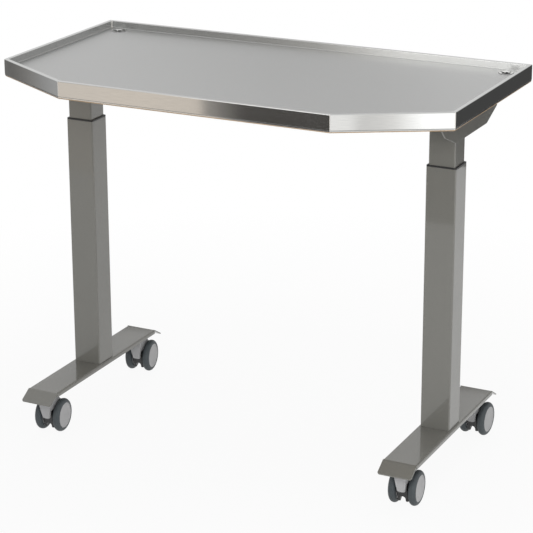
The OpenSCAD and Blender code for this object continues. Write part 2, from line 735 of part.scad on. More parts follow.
// The axle runs along the turned shape's own axis, with its outer face at the top
module caster_hub(s) color([0.66, 0.66, 0.66]) about_axle(s) {
    half = hub_w / 2;
    boss_end = -(wheel_spacing / 2 - core_w / 2 - turn_gap);
    boss_r = axle_d / 2 + boss_wall;
    hub_r = hub_d / 2;
    bore_r = axle_d / 2 + shaft_gap;
    bore_end = -half + axle_bite + turn_gap;
    rotate_extrude() polygon([
        [bore_r, boss_end], [boss_r, boss_end], [boss_r, -half + hub_ring_h],
        [hub_r - hub_ring_w, -half + hub_ring_h], [hub_r - hub_ring_w, -half], [hub_r, -half],
        [hub_r, half], [hub_r - hub_ring_w, half], [hub_r - hub_ring_w - hub_ring_h, half - hub_ring_h],
        [0, half - hub_ring_h], [0, bore_end], [bore_r, bore_end]
    ]);
}

// Tyre with an elliptical crown, round the hub
module caster_tyre(s) color([0.27, 0.29, 0.3]) about_axle(s) {
    seat_r = hub_d / 2;
    rotate_extrude() polygon(
        [for (a = [-90:15:90]) [seat_r + (wheel_d / 2 - seat_r) * cos(a), wheel_w / 2 * sin(a)]]);
}

// How far a caster's tyres reach behind its stem
function caster_reach(turn) = trail * cos(turn) + wheel_spacing / 2 * abs(sin(turn)) + hub_d / 2 * cos(turn)
    + norm([(wheel_d - hub_d) / 2 * cos(turn), wheel_w / 2 * sin(turn)]);

// The whole table reaches from the tray's front edge to its own back edge or the rear tyres
rear_reach = column_back + stem_y
    + max(caster_reach(rear_left_turn), caster_reach(rear_right_turn));
middle_y = min(tray_d / 2 - rear_reach, 0) / 2;

CASTERS = [
    ["front_left", LEFT, FRONT, front_left_turn], ["front_right", RIGHT, FRONT, front_right_turn],
    ["rear_left", LEFT, REAR, rear_left_turn], ["rear_right", RIGHT, REAR, rear_right_turn]
];

translate([0, middle_y, 0]) {
    tray_top();
    core_board();
    drain(LEFT);  // left_drain
    drain(RIGHT);  // right_drain
    drain_nuts();
    top_bracket(LEFT);  // left_top_bracket
    top_bracket(RIGHT);  // right_top_bracket
    bracket_screws();
    cross_rails();
    inner_tube(LEFT);  // left_inner_tube
    inner_tube(RIGHT);  // right_inner_tube
    inner_tube_glides();
    gearbox(LEFT);  // left_gearbox
    gearbox(RIGHT);  // right_gearbox
    motor(LEFT);  // left_motor
    motor(RIGHT);  // right_motor
    spindle(LEFT);  // left_spindle
    spindle(RIGHT);  // right_spindle
    control_box();
    switch_housing();
    switch_button(LEFT);  // up_button
    switch_button(RIGHT);  // down_button
    outer_tube(LEFT);  // left_outer_tube
    outer_tube(RIGHT);  // right_outer_tube
    collar(LEFT);  // left_collar
    collar(RIGHT);  // right_collar
    nut_tube(LEFT);  // left_nut_tube
    nut_tube(RIGHT);  // right_nut_tube
    foot(LEFT);  // left_foot
    foot(RIGHT);  // right_foot
    caster_stems(LEFT);  // left_caster_stems
    caster_stems(RIGHT);  // right_caster_stems
    for (c = CASTERS) {
        name = str(c[0], "_caster_");
        at_caster(c[1], c[2], c[3]) {
            caster_cover();
            caster_core();
            caster_axle();
            caster_hub(LEFT);
            caster_tyre(LEFT);
            caster_hub(RIGHT);
            caster_tyre(RIGHT);
        }
    }
}
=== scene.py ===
# %% [markdown]
# # Mobile instrument table
# The drawing's solids come in as a fixed frame: they say where each piece is and how it moves.
# This notebook dresses that frame. It builds the folded sheet, tubes and casters as numpy
# surfaces with real bends and rounded edges, because a sharp edge never catches the light,
# and then gives every piece a finish made of shader nodes.

import json
import math

import bmesh
import bpy
import numpy as np
from mathutils import Matrix, Vector
from mathutils.geometry import tessellate_polygon


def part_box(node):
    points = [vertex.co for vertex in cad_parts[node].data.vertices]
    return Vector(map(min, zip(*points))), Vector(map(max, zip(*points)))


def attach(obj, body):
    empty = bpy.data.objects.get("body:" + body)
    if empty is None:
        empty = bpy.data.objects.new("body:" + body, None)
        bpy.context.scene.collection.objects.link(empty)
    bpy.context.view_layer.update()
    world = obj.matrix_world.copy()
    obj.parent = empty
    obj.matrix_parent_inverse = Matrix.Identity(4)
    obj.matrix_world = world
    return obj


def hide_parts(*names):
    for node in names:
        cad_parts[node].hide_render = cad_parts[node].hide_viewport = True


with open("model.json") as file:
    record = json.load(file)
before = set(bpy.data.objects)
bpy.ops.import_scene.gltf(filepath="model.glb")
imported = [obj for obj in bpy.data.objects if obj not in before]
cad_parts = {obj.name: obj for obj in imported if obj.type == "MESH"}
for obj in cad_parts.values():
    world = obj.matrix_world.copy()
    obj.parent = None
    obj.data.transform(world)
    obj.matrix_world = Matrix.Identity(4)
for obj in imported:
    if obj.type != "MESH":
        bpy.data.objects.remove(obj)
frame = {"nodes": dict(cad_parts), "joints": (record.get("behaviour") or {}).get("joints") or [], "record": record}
nodes, record = frame["nodes"], frame["record"]
SLOT_OF = {part["node"]: part["material_slot"] for part in record["subparts"]}
BODY_OF = {
    node: body for body, members in record["behaviour"]["bodies"].items() for node in members}
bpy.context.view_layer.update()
MM = 0.001
SIDES = ("left", "right")


def mm(*sizes):
    """Sizes given in millimetres, in metres."""
    return [size * MM for size in sizes]


def box(node):
    """Lowest and highest corner of a CAD node, as arrays."""
    return [np.array(corner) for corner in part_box(node)]


def new_object(name, data):
    """Puts a mesh, lamp or camera into the scene."""
    obj = bpy.data.objects.new(name, data)
    bpy.context.scene.collection.objects.link(obj)
    return obj


# %% [markdown]
# ## Outlines and skins
# Nearly every piece here is folded or moulded, so it is an outline that shrinks, grows and
# travels: a plate's edge is an outline drawn in and out again over its thickness, a tray's
# rim is its outline carried over the bends. One function makes a rounded outline at any
# inset, always with the same number of points, and one class joins such rings with faces.
# The other way would be boxes with a Bevel modifier, but there the bends couldn't differ.

# %% Rounded outline at an inset
ARC_STEPS = 6


def heading(angle):
    """Unit vectors at these angles, in radians."""
    return np.stack([np.cos(angle), np.sin(angle)], axis=-1)


def full_turn(count):
    """Angles spread evenly over one turn."""
    return np.linspace(0, 2 * np.pi, count, endpoint=False)


def arc(centre, radius, start, end, steps=4):
    """Points on a circle from a start angle to an end angle, in degrees."""
    return np.asarray(centre) + radius * heading(np.radians(np.linspace(start, end, steps + 1)))


def bend(x, y, radius, start, end, steps=3):
    """An arc that rounds off the corner (x, y), from a start angle to an end angle."""
    middle = math.radians((start + end) / 2)
    inwards = -np.sign([math.cos(middle), math.sin(middle)])
    return arc([x, y] + radius * inwards, radius, start, end, steps)


def path(*parts):
    """One profile out of single points and runs of points such as arcs."""
    return np.concatenate([np.atleast_2d(part) for part in parts])


def rounded_outline(corners, inset=0.0, radius=MM):
    """Points of a convex anticlockwise polygon with round corners.

    Each side moves inwards by inset. Each corner becomes an arc whose centre lies one radius
    inside both its sides, and the arc turns by as much as the sides do there.
    """
    corner = np.asarray(corners, float)
    into = corner - np.roll(corner, 1, axis=0)
    into /= np.linalg.norm(into, axis=1, keepdims=True)
    out = np.roll(into, -1, axis=0)
    left_in, left_out = (np.stack([-way[:, 1], way[:, 0]], axis=1) for way in (into, out))
    meet = 1 + (left_in * left_out).sum(axis=1, keepdims=True)
    moved = corner + inset / meet * (left_in + left_out)
    turn = np.arccos(np.clip((into * out).sum(axis=1, keepdims=True), -1, 1))
    r = max(radius, 0.01 * MM)
    centre = moved - r * np.tan(turn / 2) * into + r * left_in
    start = np.arctan2(-into[:, :1], into[:, 1:])
    angle = start + turn * np.linspace(0, 1, ARC_STEPS + 1)
    return (centre[:, None] + r * heading(angle)).reshape(-1, 2)


def rectangle(width, depth, centre=(0.0, 0.0)):
    """Four corners of a rectangle, anticlockwise."""
    return np.array([[-1, -1], [1, -1], [1, 1], [-1, 1]]) * [width / 2, depth / 2] + centre


def around(corners, radius):
    """The outline as a function of its inset: the corners' radius shrinks as the outline does."""
    return lambda inset: rounded_outline(corners, inset, radius - inset)


def layers(outline, profile):
    """Rings of an outline function: one for each (inset, height) pair of the profile."""
    flat = np.array([outline(inset) for inset, _ in profile])
    heights = np.broadcast_to(np.asarray(profile)[:, 1, None, None], flat.shape[:2] + (1,))
    return np.concatenate([flat, heights], axis=2)


def revolve(profile, count=48):
    """Rings of a turned shape: each (radius, height) pair swept once round the Z axis."""
    return layers(lambda radius: radius * heading(full_turn(count)), profile)


def rolled_edge(thickness, edge):
    """(inset, height) pairs up the side of a plate whose two edges are quarter circles."""
    return path(bend(0, 0, edge, 270, 180), bend(0, thickness, edge, 180, 90))


# %% Skin: rings joined by faces
FACE_CORNERS = ((0, 0), (1, 0), (1, 1), (0, 1))
SHARP = math.radians(40)


class Skin:
    """Closed surfaces that belong to one piece, with a map coordinate at each face corner."""

    def __init__(self):
        self.points, self.faces, self.maps, self.count = [], [], [], 0

    def add(self, points, faces, maps):
        """Adds faces that count from these points' own start."""
        self.points.append(points)
        self.faces += [[index + self.count for index in face] for face in faces]
        self.maps += list(maps)
        self.count += len(points)

    def loft(self, rings, loop=False, caps=True, move=None):
        """Joins each ring to the next with quads, and each ring's end to its own start.

        A corner's map coordinate is the distance round the ring and the distance from ring
        to ring, both in metres. The first ring's cap faces backwards and the last's forwards.
        """
        rings = np.concatenate([rings, rings[:1]]) if loop else np.asarray(rings)
        rows, columns = rings.shape[:2]
        last = rows - 1 if loop else rows
        closed = np.concatenate([rings, rings[:, :1]], axis=1)
        steps_round = np.linalg.norm(np.diff(closed, axis=1), axis=2).max(axis=0)
        steps_along = np.linalg.norm(np.diff(rings, axis=0), axis=2).max(axis=1)
        u, v = (np.append(0, steps.cumsum()) for steps in (steps_round, steps_along))
        i, j = np.meshgrid(np.arange(rows - 1), np.arange(columns), indexing="ij")
        quads = np.stack([
            (i + along) % last * columns + (j + on) % columns for on, along in FACE_CORNERS], -1)
        maps = np.stack([
            np.stack([u[j + on], v[i + along]], -1) for on, along in FACE_CORNERS], -2)
        points = rings[:last].reshape(-1, 3)
        faces, maps = quads.reshape(-1, 4).tolist(), list(maps.reshape(-1, 4, 2))
        if caps and not loop:
            ring = np.arange(columns)
            for cap in (ring[::-1], ring + (rows - 1) * columns):
                faces.append(cap.tolist())
                maps.append(points[cap][:, :2])
        self.add(points if move is None else move(points), faces, maps)
        return self

    def piece(self, name, node, weld=False):
        """The Blender object, in place of one node of the frame, whose body and slot it takes.

        Edges are sharp where they turn by more than SHARP. The normals are weighted by area,
        so a flat face stays flat up to its rounded edges. weld joins points in the same
        place, for skins whose parts share an outline.
        """
        mesh = bpy.data.meshes.new(name)
        mesh.from_pydata(np.concatenate(self.points).tolist(), [], self.faces)
        uv = mesh.uv_layers.new(name="Grain")
        uv.data.foreach_set("uv", np.concatenate(self.maps).astype(np.float32).ravel())
        if weld:
            joined = bmesh.new()
            joined.from_mesh(mesh)
            bmesh.ops.remove_doubles(joined, verts=joined.verts, dist=0.001 * MM)
            joined.to_mesh(mesh)
            joined.free()
        mesh.shade_smooth()
        mesh.set_sharp_from_angle(angle=SHARP)
        mesh.materials.append(FINISHES[SLOT_OF[node]])
        mesh.validate()
        obj = new_object(name, mesh)
        obj.modifiers.new("Large faces stay flat", "WEIGHTED_NORMAL").keep_sharp = True
        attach(obj, BODY_OF[node])
        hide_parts(node)
        print(f"{name}: {len(mesh.vertices)} points, {len(mesh.polygons)} faces")
        return obj


# %% Turning and placing
def mover(matrix):
    """A function that carries an array of points by a 4x4 matrix."""
    m = np.array(matrix)
    return lambda points: points @ m[:3, :3].T + m[:3, 3]


def placed(x, y, z, degrees=0, axis="Z"):
    """Carries points by a turn about an axis and then a move."""
    return mover(Matrix.Translation((x, y, z)) @ Matrix.Rotation(math.radians(degrees), 4, axis))


def standing_along_x(x=0.0):
    """Carries a flat drawing (across, up, thickness) to Y, Z and X, so a plate stands side on."""
    return lambda p: np.stack([p[:, 2] + x, p[:, 0], p[:, 1]], axis=1)


# %% [markdown]
# ## Patterns that several finishes share
# Brushing, slow clouding and the pebbled skin of sprayed paint turn up on more than one
# material. Each is a node group with named sockets, so a material says only how strong and
# how fine it wants the effect. The shader itself stays in the material.

# %% Nodes, wires and groups
def add_node(tree, kind, inputs=None, **fields):
    """A node's outputs. Its fields are set, and each input takes a value or another's wire."""
    node = tree.nodes.new("ShaderNode" + kind)
    for field, value in fields.items():
        setattr(node, field, value)
    for socket, value in (inputs or {}).items():
        if isinstance(value, bpy.types.NodeSocket):
            tree.links.new(value, node.inputs[socket])
        else:
            node.inputs[socket].default_value = value
    return node.outputs


def new_group(name, inputs, build):
    """A node group with a vector and float inputs, and the float outputs that build returns."""
    group = bpy.data.node_groups.new(name, "ShaderNodeTree")
    socket_for = group.interface.new_socket
    socket_for(name="Vector", in_out="INPUT", socket_type="NodeSocketVector")
    for socket, value in inputs.items():
        item = socket_for(name=socket, in_out="INPUT", socket_type="NodeSocketFloat")
        item.default_value = value
    made = build(group, group.nodes.new("NodeGroupInput").outputs)
    for socket in made:
        socket_for(name=socket, in_out="OUTPUT", socket_type="NodeSocketFloat")
    end = group.nodes.new("NodeGroupOutput")
    for socket, wire in made.items():
        group.links.new(wire, end.inputs[socket])
    print("shared pattern:", name)
    return group


# %% Brushed grain, clouding and pebbled skin
def brushed_grain(tree, given):
    """Noise stretched along the brushing: scaled little along it and much across it."""
    scale = add_node(tree, "CombineXYZ", {
        "X": given["Along"], "Y": given["Across"], "Z": given["Across"]})
    stretch = add_node(tree, "VectorMath", {0: given["Vector"], 1: scale["Vector"]},
                       operation="MULTIPLY")
    noise = add_node(tree, "TexNoise", {
        "Vector": stretch["Vector"], "Scale": 1.0, "Detail": 3.0, "Roughness": 0.6})
    return {"Streaks": noise["Fac"]}


def clouding(tree, given):
    """Slow noise between two values, for wiped patches, handling and uneven spraying."""
    noise = add_node(tree, "TexNoise", {
        "Vector": given["Vector"], "Scale": given["Scale"], "Detail": 4.0})
    spread = add_node(tree, "MapRange", {
        "Value": noise["Fac"], "From Min": 0.3, "From Max": 0.7,
        "To Min": given["Low"], "To Max": given["High"]})
    return {"Value": spread["Result"]}


def pebbled_skin(tree, given):
    """Rounded cells for the height of sprayed or moulded skin, and a mask of bright flecks."""
    cells = add_node(tree, "TexVoronoi", {
        "Vector": given["Vector"], "Scale": given["Pebble scale"]}, feature="SMOOTH_F1")
    flecks = add_node(tree, "TexNoise", {
        "Vector": given["Vector"], "Scale": given["Fleck scale"], "Detail": 1.0})
    cut = add_node(tree, "MapRange", {"Value": flecks["Fac"], "From Min": 0.6, "From Max": 0.75})
    return {"Height": cells["Distance"], "Flecks": cut["Result"]}


GRAIN = new_group("Brushed grain", {"Along": 8.0, "Across": 900.0}, brushed_grain)
CLOUD = new_group("Clouding", {"Scale": 6.0, "Low": 0.0, "High": 1.0}, clouding)
PEBBLE = new_group("Pebbled skin", {"Pebble scale": 900.0, "Fleck scale": 2500.0}, pebbled_skin)


# %% A finish and its small helpers
def new_material(name):
    material = bpy.data.materials.new(name)
    material.use_nodes = True
    return material, material.node_tree


def ramp(tree, mask, stops):
    """A colour that passes through (position, colour) stops as the mask grows."""
    node = tree.nodes.new("ShaderNodeValToRGB")
    elements = node.color_ramp.elements
    while len(elements) < len(stops):
        elements.new(0.5)
    for element, (position, colour) in zip(elements, stops):
        element.position, element.color = position, (*colour, 1)
    tree.links.new(mask, node.inputs["Fac"])
    return node.outputs["Color"]


class Finish:
    """One material under construction: its shader, its coordinates and a way to add nodes."""

    def __init__(self, name, roughness, metallic=0.0, **sockets):
        self.material, self.tree = new_material(name)
        self.shader = self.tree.nodes["Principled BSDF"].inputs
        for socket, value in {"Roughness": roughness, "Metallic": metallic, **sockets}.items():
            self.shader[socket.replace("_", " ")].default_value = value
        coordinates = self.add("TexCoord")
        self.place, self.map = coordinates["Object"], coordinates["UV"]

    def add(self, kind, inputs=None, **fields):
        return add_node(self.tree, kind, inputs, **fields)

    def pattern(self, group, vector=None, **values):
        """Places a shared pattern and sets its inputs by name."""
        named = {socket.replace("_", " "): value for socket, value in values.items()}
        named["Vector"] = vector or self.place
        return self.add("Group", named, node_tree=group)

    def cloud(self, scale, low=0.0, high=1.0):
        return self.pattern(CLOUD, Scale=scale, Low=low, High=high)["Value"]

    def colours(self, mask, dark, light, low=0.0, high=1.0):
        """A colour that runs from dark to light as the mask goes from low to high."""
        return ramp(self.tree, mask, [(low, dark), (high, light)])

    def height(self):
        """How high the surface lies."""
        return self.add("SeparateXYZ", {0: self.place})["Z"]

    def either(self, mask, where_off, where_on):
        """One value or colour where the mask is 0 and another where it is 1."""
        kind, first, out = ("RGBA", 6, 2) if where_off.type == "RGBA" else ("FLOAT", 2, 0)
        inputs = {0: mask, first: where_off, first + 1: where_on}
        return self.add("Mix", inputs, data_type=kind)[out]

    def done(self, base, roughness=None, height=None, depth=0.0):
        """Wires colour, roughness and a bump of height times depth in metres to the shader."""
        wires = {"Base Color": base, "Roughness": roughness}
        if height is not None:
            wires["Normal"] = self.add("Bump", {"Height": height, "Distance": depth})["Normal"]
        for socket, wire in wires.items():
            if wire is not None:
                self.tree.links.new(wire, self.shader[socket])
        return self.material


# %% [markdown]
# ## Stainless sheet
# The tray is one stainless sheet with two finishes. The rim and skirt are brushed along their
# length, which smears each reflection upwards but leaves it sharp sideways, so the shader is
# anisotropic along the piece's own map. The floor has a fine, dull grain the same in every
# direction. Marks kept on the faces tell the floor, the rubbed inside of the rim and the
# ground welds at the corners apart; the welds are rougher, and their colour is lifted as a
# painted highlight. The crease over the hem, painted dark as shade, is found by its height.

# %% Stainless and polished steel
SHEET = 1.5 * MM
FLOOR_Z = float(box("core_board")[1][2]) + SHEET
CREASE_Z = float(box("tray_top")[0][2]) + 3.2 * MM


def satin_stainless():
    finish = Finish("Satin stainless", 0.1, 1.0, Anisotropic=0.9, Anisotropic_Rotation=0.25)
    tangent = finish.add("Tangent", direction_type="UV_MAP", uv_map="Grain")[0]
    finish.tree.links.new(tangent, finish.shader["Tangent"])
    floor, seam_and_highlight, inside = (
        finish.add("Attribute", attribute_name=mark)["Fac"] for mark in ("Floor", "Seam", "Inside"))
    streaks = finish.pattern(GRAIN, finish.map, Along=30.0, Across=1400.0)["Streaks"]
    grain = finish.cloud(700.0)
    brushed = finish.colours(streaks, (0.54, 0.545, 0.54), (0.62, 0.622, 0.61), 0.3, 0.7)
    dull = finish.colours(grain, (0.475, 0.477, 0.473), (0.515, 0.517, 0.511))
    # Painted highlight: the ground welds at the corners are coloured near white so that they shine.
    weld_highlight = finish.colours(grain, (0.84, 0.82, 0.78), (0.93, 0.91, 0.87))
    clean = finish.either(seam_and_highlight, finish.either(floor, brushed, dull), weld_highlight)
    # Painted shade: a near black band along the crease over the hem, where shade falls in the fold.
    crease = finish.add("Math", {0: finish.height(), 1: CREASE_Z, 2: 0.4 * MM},
                        operation="COMPARE")[0]
    crease_shade = finish.cloud(60.0, 0.02, 0.08)
    wiped, rubbed = finish.cloud(5.0, 0.08, 0.11), finish.cloud(9.0, 0.22, 0.26)
    even, ground = finish.cloud(700.0, 0.27, 0.31), finish.cloud(420.0, 0.45, 0.55)
    walls = finish.either(inside, wiped, rubbed)
    roughness = finish.either(seam_and_highlight, finish.either(floor, walls, even), ground)
    return finish.done(finish.either(crease, clean, crease_shade), roughness, streaks, 0.004 * MM)


def polished_steel():
    """Bright on the flange and the raised cross, and painted dark as shade where the mouth goes down the spigot.
    """
    finish = Finish("Polished steel", 0.08, 1.0)
    # Painted shade: the colour falls to near black with depth below the floor, with bright steel above it.
    rise = finish.add("MapRange", {
        "Value": finish.height(), "From Min": FLOOR_Z - 1.5 * MM, "From Max": FLOOR_Z + 3.5 * MM})
    shade = finish.colours(rise["Result"], (0.02, 0.02, 0.02), (0.75, 0.75, 0.74), 0.2, 0.95)
    return finish.done(shade, finish.cloud(160.0, 0.05, 0.12))


FINISHES = {"stainless": satin_stainless(), "polished_steel": polished_steel()}
print("tray floor at", round(FLOOR_Z, 4), "crease at", round(CREASE_Z, 4))

# %% [markdown]
# ## Sprayed and moulded finishes
# The columns, feet and brackets carry a warm grey powder coat with a fine metallic fleck and
# enough gloss to mirror their neighbours softly. The caster covers are light grey moulded
# plastic, the tyres a blue-grey rubber, and the hidden ironwork is zinc plated or black.

# %% Paint, plastic, rubber and board
def powder_coat():
    finish = Finish("Warm grey powder coat", 0.38, 0.15, Coat_Weight=0.95, Coat_Roughness=0.05,
                    Specular_IOR_Level=0.1)
    skin = finish.pattern(PEBBLE, Pebble_scale=520.0, Fleck_scale=2600.0)
    base = finish.colours(skin["Flecks"], (0.165, 0.163, 0.148), (0.27, 0.268, 0.246))
    return finish.done(base, finish.cloud(9.0, 0.3, 0.4), skin["Height"], 0.06 * MM)


def moulded(name, dark, light, rough, grain=1400.0):
    """Moulded plastic with an even spark-eroded grain and a slight unevenness of shade."""
    finish = Finish(name, rough)
    skin = finish.pattern(PEBBLE, Pebble_scale=grain)
    gloss = finish.cloud(60.0, rough - 0.05, rough + 0.06)
    base = finish.colours(finish.cloud(25.0), dark, light)
    return finish.done(base, gloss, skin["Height"], 0.04 * MM)


def zinc_plate():
    finish = Finish("Zinc plate", 0.35, 1.0)
    spangle = finish.colours(finish.cloud(240.0), (0.42, 0.43, 0.45), (0.6, 0.61, 0.63))
    return finish.done(spangle, finish.cloud(90.0, 0.28, 0.45))


def cast_metal():
    finish = Finish("Cast aluminium", 0.5, 1.0)
    skin = finish.pattern(PEBBLE, Pebble_scale=700.0)["Height"]
    base = finish.colours(skin, (0.4, 0.4, 0.41), (0.55, 0.55, 0.56))
    return finish.done(base, height=skin, depth=0.2 * MM)


def raw_board():
    """Board with short fibres along its width, which give its colour and its bump."""
    finish = Finish("Core board", 0.75)
    fibres = finish.pattern(GRAIN, Along=60.0, Across=420.0)["Streaks"]
    base = finish.colours(fibres, (0.28, 0.19, 0.11), (0.45, 0.32, 0.20), 0.25, 0.75)
    return finish.done(base, height=fibres, depth=0.2 * MM)


FINISHES |= {
    "grey_paint": powder_coat(), "zinc_steel": zinc_plate(), "cast_aluminium": cast_metal(),
    "core_board": raw_board(),
    "grey_plastic": moulded("Light grey plastic", (0.40, 0.40, 0.405), (0.44, 0.44, 0.445), 0.42),
    "black_plastic": moulded("Black plastic", (0.01, 0.01, 0.011), (0.016, 0.016, 0.017), 0.35),
    "black_paint": moulded("Black paint", (0.02, 0.02, 0.021), (0.03, 0.03, 0.032), 0.35, 700.0),
    "tyre_rubber": moulded(
        "Blue grey rubber", (0.043, 0.052, 0.057), (0.06, 0.071, 0.077), 0.55, 900.0),
}

# %% Finish on every node of the frame
for node_name, node_object in nodes.items():
    node_object.data.materials.clear()
    node_object.data.materials.append(FINISHES[SLOT_OF[node_name]])
print("finishes in use:", sorted(set(SLOT_OF.values())))

# %% [markdown]
# ## Tray
# On the real table one sheet makes the floor, the hollow rim and the skirt: it rises from the
# floor through a small cove, turns flat along the rim's top, turns down as the skirt and ends
# in a pressed hem. All of that is one profile carried round the outline, so each bend has its
# own radius. The floor closes the inside, with a round hole for each drain.

# %% Tray sizes, read from the frame
tray_low, tray_high = box("tray_top")
tray_middle = (tray_low[1] + tray_high[1]) / 2
RIM_W, CORNER_R, FILLET_R, CUT_W, CUT_D = mm(10, 3, 1.8, 224, 128)
rim_z, skirt_z = tray_high[2], tray_low[2]
half_w, half_d = tray_high[0], (tray_high[1] - tray_low[1]) / 2
TRAY_CORNERS = np.array([
    [-half_w + CUT_W, -half_d], [half_w - CUT_W, -half_d], [half_w, -half_d + CUT_D],
    [half_w, half_d], [-half_w, half_d], [-half_w, -half_d + CUT_D]]) + [0, tray_middle]
print("tray rim at", round(rim_z, 4), "skirt down to", round(skirt_z, 4))


# %% Tray profile
# (inset, height) pairs from the floor's underside, up inside the fold, down inside the skirt,
# round the hem, up the outside and over the rim to the floor.
COVE, HEM_STEP, HEM_R, HEM_Z = 0.8 * MM, 0.5 * MM, SHEET / 2, skirt_z + 3.5 * MM
tray_profile = path(
    (RIM_W + COVE, FLOOR_Z - SHEET), (RIM_W - SHEET, FLOOR_Z - SHEET),
    (RIM_W - SHEET, rim_z - SHEET), (SHEET, rim_z - SHEET), (SHEET, HEM_Z),
    (HEM_STEP + SHEET, HEM_Z - HEM_STEP), arc((HEM_STEP + HEM_R, skirt_z + HEM_R), HEM_R, 0, -180),
    (HEM_STEP, HEM_Z - 0.6 * MM), (0.15 * MM, HEM_Z - 0.1 * MM), (0, HEM_Z + 0.5 * MM),
    bend(0, rim_z, 1.4 * MM, 180, 90, 4), bend(RIM_W, rim_z, 1.2 * MM, 90, 0, 4),
    bend(RIM_W, FLOOR_Z, COVE, 180, 270, 5))
tray_rings = layers(
    lambda inset: rounded_outline(TRAY_CORNERS, inset, max(CORNER_R - inset, FILLET_R)),
    tray_profile)
tray_skin = Skin().loft(tray_rings, caps=False)

# %% Floor with drain holes
# Both faces are filled between the outline and the holes, and quads line the holes.
DRAIN_BORE = 9.5 * MM
drain_centres = [np.add(*box(f"{side}_drain"))[:2] / 2 for side in SIDES]
circle = DRAIN_BORE * heading(full_turn(32))
loops = [tray_rings[-1][:, :2]] + [centre + circle for centre in drain_centres]
flat = np.concatenate(loops)
triangles = np.array(tessellate_polygon([[Vector((*p, 0)) for p in loop] for loop in loops]))
a, b, c = (flat[triangles[:, k]] for k in range(3))
b, c = b - a, c - a
clockwise = b[:, 0] * c[:, 1] < b[:, 1] * c[:, 0]
triangles[clockwise] = triangles[clockwise][:, ::-1]
total, outer = len(flat), len(loops[0])
points = np.concatenate([
    np.column_stack([flat, np.full(total, z)]) for z in (FLOOR_Z, FLOOR_Z - SHEET)])
points[total:total + outer, :2] = tray_rings[0][:, :2]
faces = triangles.tolist() + (triangles[:, ::-1] + total).tolist()
for hole in range(len(drain_centres)):
    here = outer + hole * len(circle) + np.arange(len(circle))
    ahead = np.roll(here, -1)
    faces += np.stack([here, ahead, ahead + total, here + total], axis=1).tolist()
tray_skin.add(points, faces, [points[face][:, :2] for face in faces])
tray = tray_skin.piece("pressed_tray", "tray_top", weld=True)


# %% Marks on the tray's faces, for its finish
def face_vectors(field):
    """One vector for each face of the tray, such as its center or its normal."""
    vectors = np.empty(len(tray.data.polygons) * 3)
    tray.data.polygons.foreach_get(field, vectors)
    return vectors.reshape(-1, 3)


def mark_faces(name, chosen):
    """Keeps a face attribute that is 1 on the chosen faces and 0 elsewhere."""
    mark = tray.data.attributes.new(name, "FLOAT", "FACE")
    mark.data.foreach_set("value", chosen.astype(np.float32))
    print(name, "faces:", int(chosen.sum()))


middles, normals = face_vectors("center"), face_vectors("normal")
inner_corners = rounded_outline(TRAY_CORNERS, RIM_W)[::ARC_STEPS + 1]
seams = np.concatenate([TRAY_CORNERS, inner_corners])
from_seam = np.linalg.norm(middles[:, None, :2] - seams[None], axis=2).min(axis=1)
inward = np.sum(normals[:, :2] * middles[:, :2], axis=1) < -0.01
# Corner faces: the ground welds, which the finish also brightens as a painted highlight.
mark_faces("Seam", from_seam < 3.2 * MM)
mark_faces("Floor", np.abs(middles[:, 2] - FLOOR_Z) < 0.01 * MM)
mark_faces("Inside", inward & (middles[:, 2] > FLOOR_Z))

# %% [markdown]
# ## Drains
# Each drain is a polished flange with a rolled edge and a dished middle. A raised cross
# spans its mouth and keeps instruments out of the spigot. The flange and spigot are one
# turned profile, and the cross is two rounded bars over a small button.

# %% Drain
PIPE_R, PIPE_WALL, LIP_ROLL, BAR_RISE, BAR_W, SOFT = mm(8, 1.5, 1.6, 4, 3.5, 0.5)
nut_z = float(box("drain_nuts")[0][2])
bar_edge = rolled_edge(2 * BAR_RISE, 1.2 * MM) + [0, FLOOR_Z - BAR_RISE]
cross_bar = layers(around(rectangle(2 * DRAIN_BORE, BAR_W), BAR_W / 2 - 0.1 * MM), bar_edge)
dome = path((BAR_W, FLOOR_Z - BAR_RISE),
            bend(BAR_W, FLOOR_Z + BAR_RISE + 0.3 * MM, 1.2 * MM, 0, 90, 4))
for side, centre in zip(SIDES, drain_centres):
    low, high = box(f"{side}_drain")
    flange_r, inside_r, at = (high[0] - low[0]) / 2, PIPE_R - PIPE_WALL, placed(*centre, 0)
    dish = path(
        (flange_r - 2.6 * MM, 1.45 * MM), (DRAIN_BORE + 2 * MM, 0.7 * MM),
        (DRAIN_BORE, 0.45 * MM), (PIPE_R + 0.5 * MM, 0.2 * MM), (PIPE_R, -0.6 * MM)) + [0, FLOOR_Z]
    profile = path(
        (inside_r, low[2]), bend(PIPE_R, low[2], SOFT, 270, 360), (PIPE_R, nut_z),
        (DRAIN_BORE - SOFT, nut_z), (DRAIN_BORE, nut_z + SOFT), (DRAIN_BORE, FLOOR_Z),
        (flange_r, FLOOR_Z), arc((flange_r - LIP_ROLL, FLOOR_Z), LIP_ROLL, 0, 90, 5),
        dish, (PIPE_R, nut_z + 2 * PIPE_WALL), (inside_r, nut_z + PIPE_WALL))
    skin = Skin().loft(revolve(profile), loop=True, move=at)
    for quarter in (0, 90):
        skin.loft(cross_bar, move=placed(*centre, 0, quarter))
    skin.loft(revolve(dome, 32), move=at)
    skin.piece(f"{side}_strainer", f"{side}_drain")

# %% [markdown]
# ## Columns
# A column is one rectangular tube sliding in another, with a thin black collar that keeps
# the inner tube off the outer. A tube is drawn as one closed profile: up the outside, over a
# softened end, down the inside. The collar is a short tube, drawn the same way.

# %% Tubes and collars
column_x = {side: float(np.add(*box(f"{side}_outer_tube"))[0] / 2) for side in SIDES}
column_y = float(np.add(*box("left_outer_tube"))[1] / 2)
TUBE_R, COLLAR_T, GLIDE_GAP = mm(3.5, 3.5, 0.3)


def tube_profile(wall, z0, z1, edge):
    """Closed (inset, height) profile of a tube's wall with its four edges rounded."""
    return path(bend(0, z0, edge, 270, 180, 2), bend(0, z1, edge, 180, 90),
                bend(wall, z1, edge, 90, 0), bend(wall, z0, edge, 0, -90, 2))


